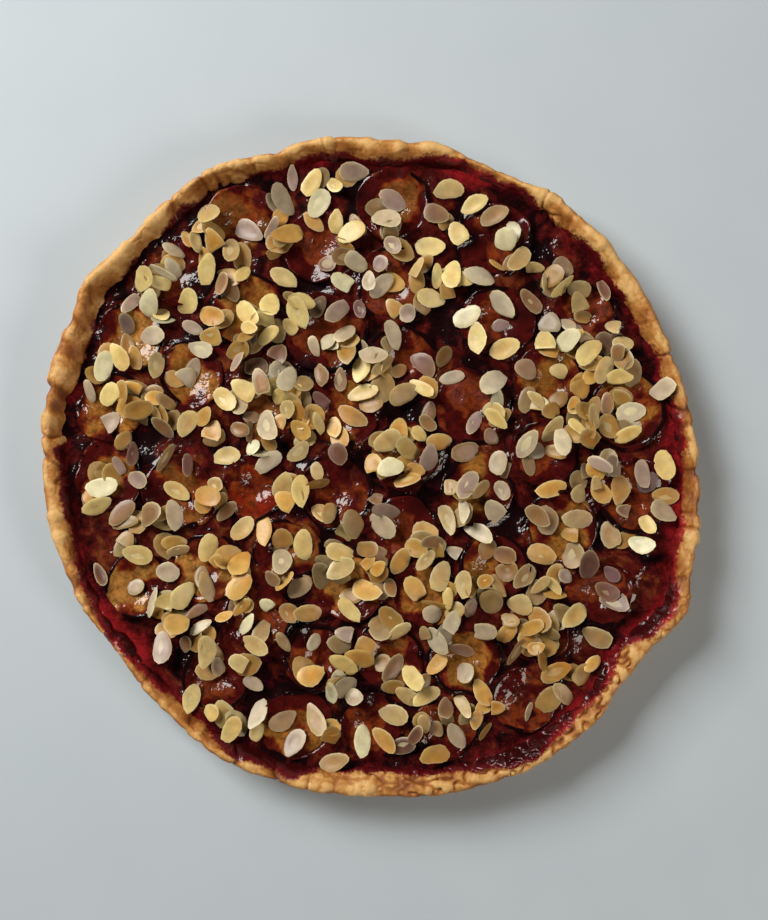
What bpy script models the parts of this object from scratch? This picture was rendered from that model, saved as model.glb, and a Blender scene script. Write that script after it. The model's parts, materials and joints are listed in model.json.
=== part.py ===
"""A plum tart: a rustic pastry case full of halved plums in their set juice, under flaked almonds.

Metres, +Z up. The origin is the middle of the case's flat underside, and +Y is the top of the tart
as it is seen from above. The case is one solid with a base and a folded rim. The juice is a disc
with a pit for each plum half, and each plum half lies in its pit with the cut side up. A flake of
almond is fused to the plum half, or to the juice, that it lies on.
"""

import math
import random

import bmesh
import bpy
import numpy as np
from mathutils import Vector, noise
from mathutils.bvhtree import BVHTree
from mathutils.geometry import delaunay_2d_cdt

MM = 0.001
GAP = 0.3 * MM
UP = Vector((0.0, 0.0, 1.0))

# The pastry case.
RIM_RADIUS = 150 * MM
RIM_OVAL = 3.6 * MM
RIM_OVAL_DIRECTION = 130
RIM_HEIGHT = 24.5 * MM
RIM_THICKNESS = 6.4 * MM
FOOT_RADIUS = 143 * MM
FOOT_FOLLOWS_RIM = 0.45
BASE_THICKNESS = 4 * MM
BASE_EDGE_INSET = 8 * MM
WALL_SLOPE = 2.2 * MM
BELLY_HEIGHT = 11 * MM
BELLY_SHARE = 0.7
CREST_DROP = 3.2 * MM
CREST_SHARE = 0.4
RIM_STATIONS = 120
CRUMB_SIZE = 7 * MM
CRUMB_RELIEF = 0.55 * MM
ROUGH_RELIEF = 0.9 * MM
ROUGH_FROM, ROUGH_TO = 262, 342

# Each fold: direction and half width in degrees, then outward, upward and thicker in millimetres.
RIM_FOLDS = (
    (0, 4, -0.8, 0.4, -2.4),
    (14, 10, -0.6, 0.0, 0.0),
    (30, 5, 1.0, 1.0, 1.5),
    (38, 5, 1.6, 0.0, 0.4),
    (45, 3.5, 1.6, 3.0, -1.2),
    (55, 6, 3.6, 1.0, 0.2),
    (67, 6, -0.2, -2.0, -3.4),
    (78, 4, 2.2, 0.4, -0.6),
    (89, 5, 0.0, 0.6, 3.4),
    (96, 10, 1.2, 0.6, -0.6),
    (108, 4, -1.6, 0.0, 0.0),
    (120, 7, 1.9, 1.2, -1.6),
    (134, 6, -0.8, -0.6, -1.8),
    (147, 4, 3.4, 3.6, -0.8),
    (161, 6, 3.2, 1.6, 5.0),
    (171, 4, 0.8, 0.0, -1.2),
    (184, 8, 1.2, 0.8, 2.4),
    (206, 6, 0.8, -0.6, -1.8),
    (217, 14, -2.8, -2.2, -1.2),
    (241, 6, 1.0, 0.4, -0.6),
    (252, 4, -0.2, -0.6, -3.4),
    (270, 5, -1.8, 0.0, 0.0),
    (276, 18, -0.2, 0.8, 3.4),
    (300, 8, 1.0, 0.4, 0.6),
    (318, 3, -3.6, -0.6, 0.6),
    (325, 5, -2.6, 0.4, 3.6),
    (336, 4.5, 5.6, 1.8, 0.6),
    (348, 4, 1.4, 0.0, 0.0),
)

# The juice.
JUICE_LEVEL = 16 * MM
JUICE_FLOOR = BASE_THICKNESS + GAP
JUICE_SAG = 0.9 * MM
JUICE_CLIMB = 0.9 * MM
SAG_SPACING = 9 * MM
SAG_CLEARANCE = 2.6 * MM

# The plum halves. Those that show plainly: x, y and width in millimetres, from the tart's middle.
SHOWN_PLUMS = (
    (16, 5, 35),
    (10, 124, 33),
    (-24, 101, 36),
    (-124, -5, 34),
    (-107, -54, 31),
    (-35, -122, 34),
    (42, -88, 37),
    (121, 27, 35),
    (104, -58, 38),
    (-72, -98, 36),
    (-53, -9, 35),
    (-75, -46, 34),
    (58, 66, 34),
    (-82, 43, 36),
    (-116, 63, 34),
    (73, -112, 33),
    (108, 76, 34),
    (56, 104, 34),
)
PLUM_COUNT = 46
PLUM_SPACING = 38 * MM
PLUM_REACH = 122 * MM
PLUM_WIDTH_LEAST, PLUM_WIDTH_MOST = 33 * MM, 38 * MM
PLUM_MARGIN = 0.8 * MM
PLUM_WALL_MARGIN = 1.6 * MM
WALL_STEP = 0.995
PLUM_NARROWEST = 0.88
PLUM_UNEVENNESS = 0.05
PLUM_CORNERS = 10
FOOT_CORNERS = PLUM_CORNERS // 2
PLUM_FOOT_SHARE = 0.45
PLUM_FOOT_HEIGHT = BASE_THICKNESS + 2 * MM
LIP_SHARE = 0.97
LIP_LEAST, LIP_MOST = 1.8 * MM, 3.8 * MM
FLESH_SHARE = 0.7
FLESH_DROP = 1.1 * MM
STONE_DEPTH = 2.8 * MM
SETTLING_STEPS = 60

# The flaked almonds.
FLAKE_COUNT = 164
FLAKE_LENGTH_LEAST, FLAKE_LENGTH_MOST = 11.5 * MM, 19 * MM
FLAKE_SLIMMEST, FLAKE_ROUNDEST = 0.56, 0.8
FLAKE_THICKNESS = 1.15 * MM
FLAKE_CORNERS = 7
FLAKE_TAPER = 0.22
FLAKE_SINK = 0.5 * MM
FLAKE_BITE = 0.2 * MM
FLAKE_BITE_CELLS = 3
FLAKE_CLEARANCE = 0.45 * MM
FLAKE_STEEPEST = 0.4
FLAKE_WOBBLE = 0.1
FLAKE_RIM_CLEARANCE = 3 * MM
FLAKE_CEILING = 26.5 * MM
FLAKE_TRIES = 60
FLAKE_CHOICES = 4
FLAT_ANGLE = math.radians(0.5)
GRID_STEP = 1 * MM
GRID_REACH = 170 * MM
ABOVE_ALL = 60 * MM

# Places with few almonds: x, y and radius in millimetres, from the tart's middle.
BARE_PLACES = (
    (22, 30, 10),
    (30, -22, 12),
    (-103, 8, 12),
    (-70, -112, 12),
    (98, 118, 26),
    (12, 133, 12),
    (-60, 118, 18),
    (128, -62, 14),
    (60, -130, 14),
    (-128, -62, 16),
    (-18, 82, 12),
)

PASTRY_COLOUR = (0.62, 0.33, 0.10, 1.0)
PLUM_COLOUR = (0.30, 0.055, 0.02, 1.0)
JUICE_COLOUR = (0.09, 0.006, 0.012, 1.0)
ALMOND_COLOUR = (0.72, 0.50, 0.22, 1.0)
SEED = 6


def clear_scene():
    for obj in list(bpy.data.objects):
        bpy.data.objects.remove(obj)


def finish(name, colour, roughness):
    """A material with one colour and one roughness."""
    material = bpy.data.materials.new(name)
    material.use_nodes = True
    shader = material.node_tree.nodes["Principled BSDF"]
    shader.inputs["Base Color"].default_value = colour
    shader.inputs["Roughness"].default_value = roughness
    material.diffuse_color = colour
    return material


def mesh_object(name, bm, material):
    """A scene object from a bmesh, with its faces turned outwards."""
    bmesh.ops.recalc_face_normals(bm, faces=bm.faces)
    bmesh.ops.triangulate(bm, faces=bm.faces)
    mesh = bpy.data.meshes.new(name)
    bm.to_mesh(mesh)
    bm.free()
    mesh.materials.append(material)
    obj = bpy.data.objects.new(name, mesh)
    bpy.context.scene.collection.objects.link(obj)
    return obj


def stitch(bm, ring, inner):
    """Faces between two closed rings, where the inner one has as many points or half as many."""
    count = len(ring)
    for i in range(count):
        j = (i + 1) % count
        if len(inner) == count:
            bm.faces.new((ring[i], ring[j], inner[j], inner[i]))
        elif i % 2 == 0:
            bm.faces.new((ring[i], ring[j], inner[i // 2]))
        else:
            after = inner[((i + 1) // 2) % len(inner)]
            bm.faces.new((ring[i], after, inner[i // 2]))
            bm.faces.new((ring[i], ring[j], after))


def on_circle(angle, radius, height=0.0):
    return Vector((radius * math.cos(angle), radius * math.sin(angle), height))


# The pastry case.


def turn_between(a, b):
    """The angle from b to a in degrees, from -180 to 180."""
    return (a - b + 180) % 360 - 180


def folds(degrees):
    """How far the rim's folds push it outward and upward and thicken it, in one direction."""
    push = np.zeros(3)
    for direction, half_width, *amounts in RIM_FOLDS:
        share = math.exp(-((turn_between(degrees, direction) / half_width) ** 2))
        push += share * MM * np.array(amounts)
    return push


def crumbs(degrees, seed):
    """The crumbly unevenness of the rim, which is roughest along its lower right."""
    place = on_circle(math.radians(degrees), RIM_RADIUS / CRUMB_SIZE, seed)
    rough = ROUGH_FROM < degrees < ROUGH_TO
    return (ROUGH_RELIEF if rough else CRUMB_RELIEF) * noise.noise(place)


def case_profile(degrees):
    """Radius and height of the case's skin in one direction, from its foot over the rim to its base."""
    outward, upward, thicker = folds(degrees)
    oval = RIM_OVAL * math.cos(2 * math.radians(degrees - RIM_OVAL_DIRECTION))
    rim = RIM_RADIUS + oval + outward
    foot = FOOT_RADIUS + FOOT_FOLLOWS_RIM * (rim - RIM_RADIUS)
    height = RIM_HEIGHT + upward + crumbs(degrees, 1)
    thickness = RIM_THICKNESS + thicker + crumbs(degrees, 2)
    rim += crumbs(degrees, 3)
    inner = rim - thickness
    return (
        (foot, 0.0),
        (foot + BELLY_SHARE * (rim - foot), BELLY_HEIGHT),
        (rim, height - CREST_DROP + crumbs(degrees, 4)),
        (rim - CREST_SHARE * thickness, height),
        (inner, height - CREST_DROP + crumbs(degrees, 5)),
        (inner - WALL_SLOPE, JUICE_LEVEL + JUICE_CLIMB),
        (min(foot - BASE_EDGE_INSET, inner - 2 * WALL_SLOPE), BASE_THICKNESS),
    )


def station_angles():
    return [2 * math.pi * k / RIM_STATIONS for k in range(RIM_STATIONS)]


def case_rings():
    """The case's skin as rings of points, moved so that the case's box is centred on the origin."""
    profiles = [case_profile(math.degrees(angle)) for angle in station_angles()]
    rings = [
        [on_circle(angle, *profile[k]) for angle, profile in zip(station_angles(), profiles)]
        for k in range(len(profiles[0]))
    ]
    every = np.array([point for ring in rings for point in ring])
    middle = (every.min(0) + every.max(0)) / 2
    shift = Vector((middle[0], middle[1], 0.0))
    return [[point - shift for point in ring] for ring in rings]


def pastry_case(rings, material):
    bm = bmesh.new()
    loops = [[bm.verts.new(point) for point in ring] for ring in rings]
    for lower, upper in zip(loops, loops[1:]):
        stitch(bm, lower, upper)
    bm.faces.new(loops[0])
    bm.faces.new(loops[-1])
    return mesh_object("pastry_case", bm, material)


# The plum halves.


def clear_of_wall(middle, radius, wall):
    """A middle moved inward until a plum half there is clear of the case's inner wall."""
    while min((point.to_2d() - middle).length for point in wall) < radius + PLUM_WALL_MARGIN:
        middle = middle * WALL_STEP
    return middle


def plum_places(wall):
    """Middle and radius of each plum half. Those that show plainly keep their places, and the rest
    are pushed apart until they fill the case between them."""
    draw = random.Random(SEED)
    shown = len(SHOWN_PLUMS)
    widths = [width * MM for _, _, width in SHOWN_PLUMS]
    middles = [
        clear_of_wall(Vector((x, y)) * MM, width / 2, wall)
        for (x, y, _), width in zip(SHOWN_PLUMS, widths)
    ]
    while len(middles) < PLUM_COUNT:
        angle = draw.uniform(0, 2 * math.pi)
        middles.append(on_circle(angle, PLUM_REACH * math.sqrt(draw.random())).to_2d())
        widths.append(draw.uniform(PLUM_WIDTH_LEAST, PLUM_WIDTH_MOST))
    for _ in range(SETTLING_STEPS):
        for i in range(shown, PLUM_COUNT):
            push = Vector((0.0, 0.0))
            for j, other in enumerate(middles):
                apart = middles[i] - other
                if j != i and 0 < apart.length < PLUM_SPACING:
                    push += apart.normalized() * (PLUM_SPACING - apart.length) / 3
            middles[i] = clear_of_wall(middles[i] + push, widths[i] / 2, wall)
    places = []
    for i, middle in enumerate(middles):
        room = 1.0
        for j, other in enumerate(middles):
            if j != i:
                apart = (middle - other).length - 2 * PLUM_MARGIN
                room = min(room, 2 * apart / (widths[i] + widths[j]))
        places.append((middle, room * widths[i] / 2))
    return places


def plum_form(index, radius):
    """The draws that make one plum half its own: its turn, narrowness, corners and lip heights."""
    draw = random.Random(SEED * 1000 + index)
    turn = draw.uniform(0, math.pi)
    narrow = draw.uniform(PLUM_NARROWEST, 1.0)
    corners = []
    for k in range(PLUM_CORNERS):
        angle = 2 * math.pi * k / PLUM_CORNERS
        oval = math.hypot(math.cos(angle - turn), narrow * math.sin(angle - turn))
        reach = radius * oval * (1 - draw.uniform(0, PLUM_UNEVENNESS))
        corners.append((angle, reach, draw.uniform(LIP_LEAST, LIP_MOST)))
    return corners


def ring_at(middle, corners, share, height, grown=0.0):
    """A ring of points round a plum half's middle, at a share of its reach."""
    centre = middle.to_3d()
    return [centre + on_circle(angle, reach * share + grown, height) for angle, reach, _ in corners]


def pit_rings(middle, corners, grown=0.0, lowered=0.0):
    """Where a plum half meets the juice's surface, and its foot in the juice."""
    waist = ring_at(middle, corners, 1.0, JUICE_LEVEL, grown)
    foot = ring_at(middle, corners[::2], PLUM_FOOT_SHARE, PLUM_FOOT_HEIGHT - lowered, grown)
    return waist, foot


def plum_half(name, middle, corners, material):
    """A plum half with its cut side up: a round underside, a skin that stands up as a lip, flesh a
    little below it and the hollow of the stone in the middle."""
    bm = bmesh.new()
    waist, foot = ([bm.verts.new(p) for p in ring] for ring in pit_rings(middle, corners))
    lip = ring_at(middle, corners, LIP_SHARE, JUICE_LEVEL)
    flesh = ring_at(middle, corners, FLESH_SHARE, JUICE_LEVEL)
    lip = [bm.verts.new(p + UP * rise) for p, (_, _, rise) in zip(lip, corners)]
    flesh = [bm.verts.new(p + UP * (rise - FLESH_DROP)) for p, (_, _, rise) in zip(flesh, corners)]
    mean_lip = sum(rise for _, _, rise in corners) / PLUM_CORNERS
    hollow = bm.verts.new(middle.to_3d() + UP * (JUICE_LEVEL + mean_lip - STONE_DEPTH))
    bm.faces.new(foot)
    stitch(bm, waist, foot)
    stitch(bm, waist, lip)
    stitch(bm, lip, flesh)
    for i, corner in enumerate(flesh):
        bm.faces.new((corner, flesh[(i + 1) % PLUM_CORNERS], hollow))
    return mesh_object(name, bm, material)


# The juice.


def sag_points(places, wall):
    """Points in the wider gaps between the plum halves, where the set juice sags."""
    draw = random.Random(SEED + 1)
    steps = int(PLUM_REACH / SAG_SPACING) + 1
    inside = min(point.length for point in wall) - SAG_CLEARANCE
    found = []
    for i in range(-steps, steps + 1):
        for j in range(-steps, steps + 1):
            point = SAG_SPACING * Vector((i + 0.5 * (j % 2), j))
            point = point + MM * Vector((draw.uniform(-1, 1), draw.uniform(-1, 1)))
            clear = min((point - middle).length - radius for middle, radius in places)
            if clear > SAG_CLEARANCE and point.length < inside:
                found.append(point)
    return found


def juice_disc(rings, places, forms, material):
    """The set juice: a disc that fills the case, with a pit for each plum half."""
    wall, edge = rings[-2], rings[-1]
    bm = bmesh.new()
    rim = [bm.verts.new(p - GAP * 2 * p.to_2d().normalized().to_3d()) for p in wall]
    foot = []
    for point in edge:
        inward = GAP * 2 * point.to_2d().normalized().to_3d()
        foot.append(bm.verts.new((point - inward).to_2d().to_3d() + UP * JUICE_FLOOR))
    top, loops = list(rim), [list(range(RIM_STATIONS))]
    for (middle, _), corners in zip(places, forms):
        waist, low = pit_rings(middle, corners, grown=GAP * 1.3, lowered=GAP * 1.3)
        waist, low = ([bm.verts.new(p) for p in ring] for ring in (waist, low))
        stitch(bm, waist, low)
        bm.faces.new(low)
        loops.append(list(range(len(top), len(top) + len(waist))))
        top += waist
    for point in sag_points(places, wall):
        top.append(bm.verts.new(point.to_3d() + UP * (JUICE_LEVEL - JUICE_SAG)))
    edges = [(a, b) for loop in loops for a, b in zip(loop, loop[1:] + loop[:1])]
    flat = [vert.co.to_2d() for vert in top]
    _, _, triangles, _, _, _ = delaunay_2d_cdt(flat, edges, [], 1, 1e-9)
    for corners in triangles:
        centre = sum((flat[k] for k in corners), Vector((0.0, 0.0))) / 3
        if not in_a_pit(centre, places, forms):
            bm.faces.new([top[k] for k in corners])
    stitch(bm, rim, foot)
    bm.faces.new(foot)
    return mesh_object("plum_juice", bm, material)


def in_a_pit(point, places, forms):
    """True where a point of the juice's surface lies inside a plum half's outline."""
    for (middle, radius), corners in zip(places, forms):
        offset = point - middle
        if offset.length > radius + 2 * GAP:
            continue
        outline = [on_circle(angle, reach + GAP * 1.3).to_2d() for angle, reach, _ in corners]
        sides = zip(outline, outline[1:] + outline[:1])
        if all((b - a).cross(offset - a) > 0 for a, b in sides):
            return True
    return False


# The flaked almonds.


def heights_of(objects):
    """Height and owner of the highest surface over a fine grid, seen from above."""
    points, faces, owners = [], [], []
    for index, obj in enumerate(objects):
        start = len(points)
        points += [vert.co.copy() for vert in obj.data.vertices]
        faces += [[start + k for k in face.vertices] for face in obj.data.polygons]
        owners += [index] * len(obj.data.polygons)
    tree = BVHTree.FromPolygons(points, faces)
    axis = np.arange(-GRID_REACH, GRID_REACH + GRID_STEP / 2, GRID_STEP)
    height = np.zeros((len(axis), len(axis)))
    owner = np.full(height.shape, -1)
    for row, y in enumerate(axis):
        for column, x in enumerate(axis):
            hit, _, face, _ = tree.ray_cast(Vector((x, y, ABOVE_ALL)), -UP)
            if hit:
                height[row, column] = hit.z
                owner[row, column] = owners[face]
    return axis, height, owner


def flake_outline(length, width):
    """A flake's outline about its own middle: an oval that is narrower at one end."""
    angles = np.arange(FLAKE_CORNERS) * 2 * math.pi / FLAKE_CORNERS
    along = length / 2 * np.cos(angles)
    across = width / 2 * np.sin(angles) * (1 - FLAKE_TAPER * np.cos(angles))
    return np.stack([along, across], 1)


def turned(points, angle):
    c, s = math.cos(angle), math.sin(angle)
    return points @ np.array([[c, s], [-s, c]])


def inside_rim(corners, reach):
    """True where every corner of a flake lies inside the case's inner wall, less a margin."""
    angle = np.degrees(np.arctan2(corners[:, 1], corners[:, 0])) % 360
    station = (angle / 360 * RIM_STATIONS).astype(int)
    near = np.minimum(reach[station], reach[(station + 1) % RIM_STATIONS])
    return bool((np.hypot(*corners.T) < near - FLAKE_RIM_CLEARANCE).all())


def in_bare_place(point):
    return any(math.hypot(point[0] - x * MM, point[1] - y * MM) < r * MM for x, y, r in BARE_PLACES)


def cells_below(point, heading, length, width, axis):
    """The grid's cells under a flake: their places from its middle, and their rows and columns."""
    first = np.searchsorted(axis, point - length)
    last = np.searchsorted(axis, point + length)
    columns, rows = np.meshgrid(range(first[0], last[0]), range(first[1], last[1]))
    columns, rows = columns.ravel(), rows.ravel()
    cells = np.stack([axis[columns], axis[rows]], 1) - point
    own = turned(cells, -heading)
    below = (own[:, 0] / (length + GRID_STEP)) ** 2 + (own[:, 1] / (width + GRID_STEP)) ** 2 < 0.25
    return cells[below], (rows[below], columns[below])


def height_of_others(height, owner, under, body):
    """For each cell, the highest surface that belongs to another body, in the cell or next to it."""
    rows, columns = under
    highest = np.zeros(len(rows))
    for up in (-1, 0, 1):
        for right in (-1, 0, 1):
            near = (rows + up, columns + right)
            highest = np.maximum(highest, np.where(owner[near] == body, 0.0, height[near]))
    return highest


def resting_plane(cells, contact, draw):
    """Height at the middle and slopes of a flake that has come to rest on what is under it."""
    table = np.c_[np.ones(len(cells)), cells]
    slopes = np.linalg.lstsq(table, contact, rcond=None)[0][1:]
    slopes += [draw.uniform(-FLAKE_WOBBLE, FLAKE_WOBBLE) for _ in range(2)]
    slopes = np.clip(slopes, -FLAKE_STEEPEST, FLAKE_STEEPEST)
    return float((contact - cells @ slopes).max()), slopes


def lay_flakes(bodies, rings):
    """Where each flake lies: its owner, its outline, and its height and slopes. A flake sinks a
    little into the body that fills most of the space under it, and it is clear of all the others."""
    draw = random.Random(SEED + 2)
    reach = np.array([point.to_2d().length for point in rings[-2]])
    axis, height, owner = heights_of(bodies)
    lengths = sorted(
        (draw.triangular(FLAKE_LENGTH_LEAST, FLAKE_LENGTH_MOST) for _ in range(FLAKE_COUNT)),
        reverse=True,
    )
    laid = []
    for length in lengths:
        width = length * draw.uniform(FLAKE_SLIMMEST, FLAKE_ROUNDEST)
        for _ in range(FLAKE_TRIES):
            point = open_point(draw, [flake[1] for flake in laid])
            heading = draw.uniform(0, 2 * math.pi)
            outline = turned(flake_outline(length, width), heading)
            if in_bare_place(point) or not inside_rim(outline + point, reach):
                continue
            cells, under = cells_below(point, heading, length, width, axis)
            base = height[under]
            body = int(np.bincount(owner[under]).argmax())
            mine = owner[under] == body
            contact = np.maximum(
                np.where(mine, base - FLAKE_SINK, 0.0),
                height_of_others(height, owner, under, body) + FLAKE_CLEARANCE,
            )
            middle_height, slopes = resting_plane(cells, contact, draw)
            bottom = middle_height + cells @ slopes
            sunk = (mine & (base - bottom > FLAKE_BITE)).sum() >= FLAKE_BITE_CELLS
            if sunk and bottom.max() + FLAKE_THICKNESS < FLAKE_CEILING:
                height[under] = bottom + FLAKE_THICKNESS
                owner[under] = body
                laid.append((body, point, outline, middle_height, slopes))
                break
    return laid


def open_point(draw, taken):
    """Of a few points drawn over the tart, the one furthest from the flakes that already lie there."""
    best, most = None, -1.0
    for _ in range(FLAKE_CHOICES):
        point = np.array(on_circle(draw.uniform(0, 2 * math.pi), RIM_RADIUS * math.sqrt(draw.random()))[:2])
        room = min((float(np.hypot(*(point - other))) for other in taken), default=RIM_RADIUS)
        if room > most:
            best, most = point, room
    return best


def flake_solid(name, point, outline, height, slopes, material):
    """A thin flat flake, whose two faces have the same corners."""
    bm = bmesh.new()
    levels = height + outline @ slopes
    corners = np.c_[outline + point, levels]
    lower = [bm.verts.new(corner) for corner in corners]
    upper = [bm.verts.new(Vector(corner) + UP * FLAKE_THICKNESS) for corner in corners]
    stitch(bm, lower, upper)
    bm.faces.new(lower)
    bm.faces.new(upper)
    return mesh_object(name, bm, material)


def tidy_union(obj):
    """Drops loose scraps and fills sealed hollows, as only the largest of the mesh's separate shells
    stays. Then it joins the flat faces that the union has cut up."""
    bm = bmesh.new()
    bm.from_mesh(obj.data)
    shells, left = [], set(bm.faces)
    while left:
        shell, front = set(), [left.pop()]
        while front:
            face = front.pop()
            shell.add(face)
            near = {other for edge in face.edges for other in edge.link_faces} & left
            left -= near
            front += near
        shells.append(shell)
    shells.sort(key=len)
    for shell in shells[:-1]:
        bmesh.ops.delete(bm, geom=list(shell), context="FACES")
    bmesh.ops.dissolve_limit(bm, angle_limit=FLAT_ANGLE, verts=bm.verts, edges=bm.edges)
    bmesh.ops.triangulate(bm, faces=bm.faces)
    bm.to_mesh(obj.data)
    bm.free()


def fuse(body, flakes):
    """Joins flakes to the body that they lie on, with one Boolean union."""
    group = bpy.data.collections.new(f"flakes_on_{body.name}")
    for flake in flakes:
        group.objects.link(flake)
    join = body.modifiers.new("flakes", "BOOLEAN")
    join.operation = "UNION"
    join.operand_type = "COLLECTION"
    join.collection = group
    join.solver = "MANIFOLD"
    bpy.context.view_layer.objects.active = body
    bpy.ops.object.modifier_apply(modifier=join.name)
    for flake in flakes:
        bpy.data.objects.remove(flake)
    bpy.data.collections.remove(group)
    tidy_union(body)


def scatter_almonds(bodies, rings, material):
    owned = {}
    for number, (body, *form) in enumerate(lay_flakes(bodies, rings)):
        owned.setdefault(body, []).append(flake_solid(f"flake_{number}", *form, material))
    for body, flakes in owned.items():
        fuse(bodies[body], flakes)


def build():
    clear_scene()
    pastry = finish("baked_pastry", PASTRY_COLOUR, 0.6)
    flesh = finish("cooked_plum", PLUM_COLOUR, 0.25)
    juice = finish("set_juice", JUICE_COLOUR, 0.12)
    almond = finish("toasted_almond", ALMOND_COLOUR, 0.5)
    rings = case_rings()
    places = plum_places(rings[-2])
    forms = [plum_form(index, radius) for index, (_, radius) in enumerate(places)]
    plums = [
        plum_half(f"plum_half_{index + 1:02d}", middle, corners, flesh)
        for index, ((middle, _), corners) in enumerate(zip(places, forms))
    ]
    disc = juice_disc(rings, places, forms, juice)
    scatter_almonds([*plums, disc], rings, almond)
    pastry_case(rings, pastry)


build()
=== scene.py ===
"""A plum tart seen from straight above: pastry case, halved plums, set juice and flaked almonds."""

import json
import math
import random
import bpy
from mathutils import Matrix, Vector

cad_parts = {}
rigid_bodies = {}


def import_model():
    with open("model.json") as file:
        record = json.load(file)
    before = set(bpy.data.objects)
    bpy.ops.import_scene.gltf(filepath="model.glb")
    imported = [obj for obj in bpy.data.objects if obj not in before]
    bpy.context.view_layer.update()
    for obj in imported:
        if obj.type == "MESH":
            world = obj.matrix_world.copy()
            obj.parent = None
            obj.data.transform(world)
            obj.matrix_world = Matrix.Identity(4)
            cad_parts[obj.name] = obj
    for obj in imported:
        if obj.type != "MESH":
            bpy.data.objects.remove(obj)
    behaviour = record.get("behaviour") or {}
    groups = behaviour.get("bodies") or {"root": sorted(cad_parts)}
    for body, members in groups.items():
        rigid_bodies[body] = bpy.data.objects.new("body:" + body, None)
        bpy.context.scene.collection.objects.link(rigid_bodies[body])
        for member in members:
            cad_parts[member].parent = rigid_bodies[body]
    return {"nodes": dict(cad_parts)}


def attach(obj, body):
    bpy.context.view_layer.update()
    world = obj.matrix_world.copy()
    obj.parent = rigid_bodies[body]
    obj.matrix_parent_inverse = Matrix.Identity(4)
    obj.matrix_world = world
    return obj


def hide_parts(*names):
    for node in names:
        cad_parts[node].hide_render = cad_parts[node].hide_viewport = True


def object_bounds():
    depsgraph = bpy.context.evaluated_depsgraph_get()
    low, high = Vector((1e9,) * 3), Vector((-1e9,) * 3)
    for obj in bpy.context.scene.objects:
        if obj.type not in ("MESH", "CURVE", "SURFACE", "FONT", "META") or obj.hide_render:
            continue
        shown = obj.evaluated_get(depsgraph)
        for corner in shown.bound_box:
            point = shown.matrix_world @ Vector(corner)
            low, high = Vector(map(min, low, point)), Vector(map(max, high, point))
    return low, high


bl_info = {
    "name": "Plum tart",
    "version": (1, 0, 0),
    "blender": (4, 5, 0),
    "location": "3D View > Sidebar > Plum tart",
    "description": "Dresses the tart's solids as baked pastry, cooked plums, set juice and almonds",
    "category": "Object",
}

import bpy
import numpy as np
from bpy.props import FloatProperty, FloatVectorProperty, IntProperty, PointerProperty
from mathutils import Vector
from mathutils.bvhtree import BVHTree

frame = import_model()
CAD_BOX = [list(corner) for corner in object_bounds()]

MM = 0.001
BODY = "root"
NOISE_CELLS = 64
# Points of the solids that are closer than this lie on the same level or in the same place.
SAME = 0.01 * MM

# The solids' own levels, in metres: the juice's flat surface and the ring where it meets the case.
JUICE_LEVEL = 16 * MM
WALL_RING_HEIGHT = 16.9 * MM
PLUM_CORNERS = 10
PLUM_NODES = sorted(name for name in frame["nodes"] if name.startswith("plum_half"))

# The golden band of the rim, from its outer edge inwards to the juice's stain: direction in degrees
# and width in millimetres.
GOLDEN_BAND = (
    (0, 6), (9, 5), (15, 8), (21, 6.5), (30, 9), (36, 8.5), (45, 6.8), (52, 9), (57, 8.5), (61, 3.5),
    (66, 3.5), (73, 2.7), (78, 6), (84, 8), (90, 9), (96, 6.5), (100, 5.5), (108, 7), (117, 10),
    (121, 9), (126, 5), (133, 9), (140, 8.5), (147, 12.5), (153, 9.5), (162, 13), (170, 10.5),
    (174, 12), (177, 5), (180, 7.5), (186, 7), (191, 8.2), (198, 5.5), (205, 4), (213, 1.5),
    (218, 2.8), (225, 5.3), (231, 8), (237, 8), (243, 3.5), (249, 4.5), (255, 3), (261, 10),
    (267, 10), (273, 11.5), (279, 9.5), (285, 9), (291, 6.8), (297, 3.8), (300, 2.5), (306, 6.5),
    (312, 7.5), (318, 5.5), (324, 9.5), (330, 5.2), (336, 5), (342, 7.5), (348, 7.8), (354, 6.8),
)

# The flesh of each plum half, in the order of the solids' nodes.
FLESH_TINTS = (
    "yellow", "brown", "rose", "amber", "yellow", "amber", "amber", "amber", "rose", "plum", "red",
    "yellow", "rose", "amber", "yellow", "plum", "rose", "dark", "plum", "plum", "amber", "amber",
    "brown", "rose", "amber", "plum", "amber", "brown", "yellow", "brown", "brown", "brown", "plum",
    "amber", "rose", "amber", "rose", "rose", "amber", "amber", "plum", "plum", "plum", "dark",
    "plum", "plum",
)

# Where the juice stands deep and dark between and over the fruit, partly painted shade of the
# hollows there: x and y in millimetres.
POOLS_AND_SHADE = (
    (-4, 125), (45, 105), (73, 101), (-80, 85), (-30, 84), (70, 70), (31, 69), (-30, 47), (49, 45),
    (15, 26), (-104, 13), (36, -1), (-9, -3), (-100, -14), (21, -18), (65, -25), (106, -27), (-32, -75),
    (60, -85), (-86, -87), (-49, -102), (-29, -102), (0, -105),
)
POOL_WIDTH = 8.5 * MM

# How much more than usual the juice has stained flesh of each tint, how much skin it shows, and how
# many times deeper its wrinkles are.
STAINED = {"yellow": -0.4, "amber": -0.28, "brown": -0.15, "plum": 0.1, "red": 0.1, "dark": 0.25}
SHOWN_SKIN = {"dark": 0.15, "plum": 0.07, "red": 0.08}
FURROWED = {"dark": 2.2, "plum": 1.5}

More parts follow.
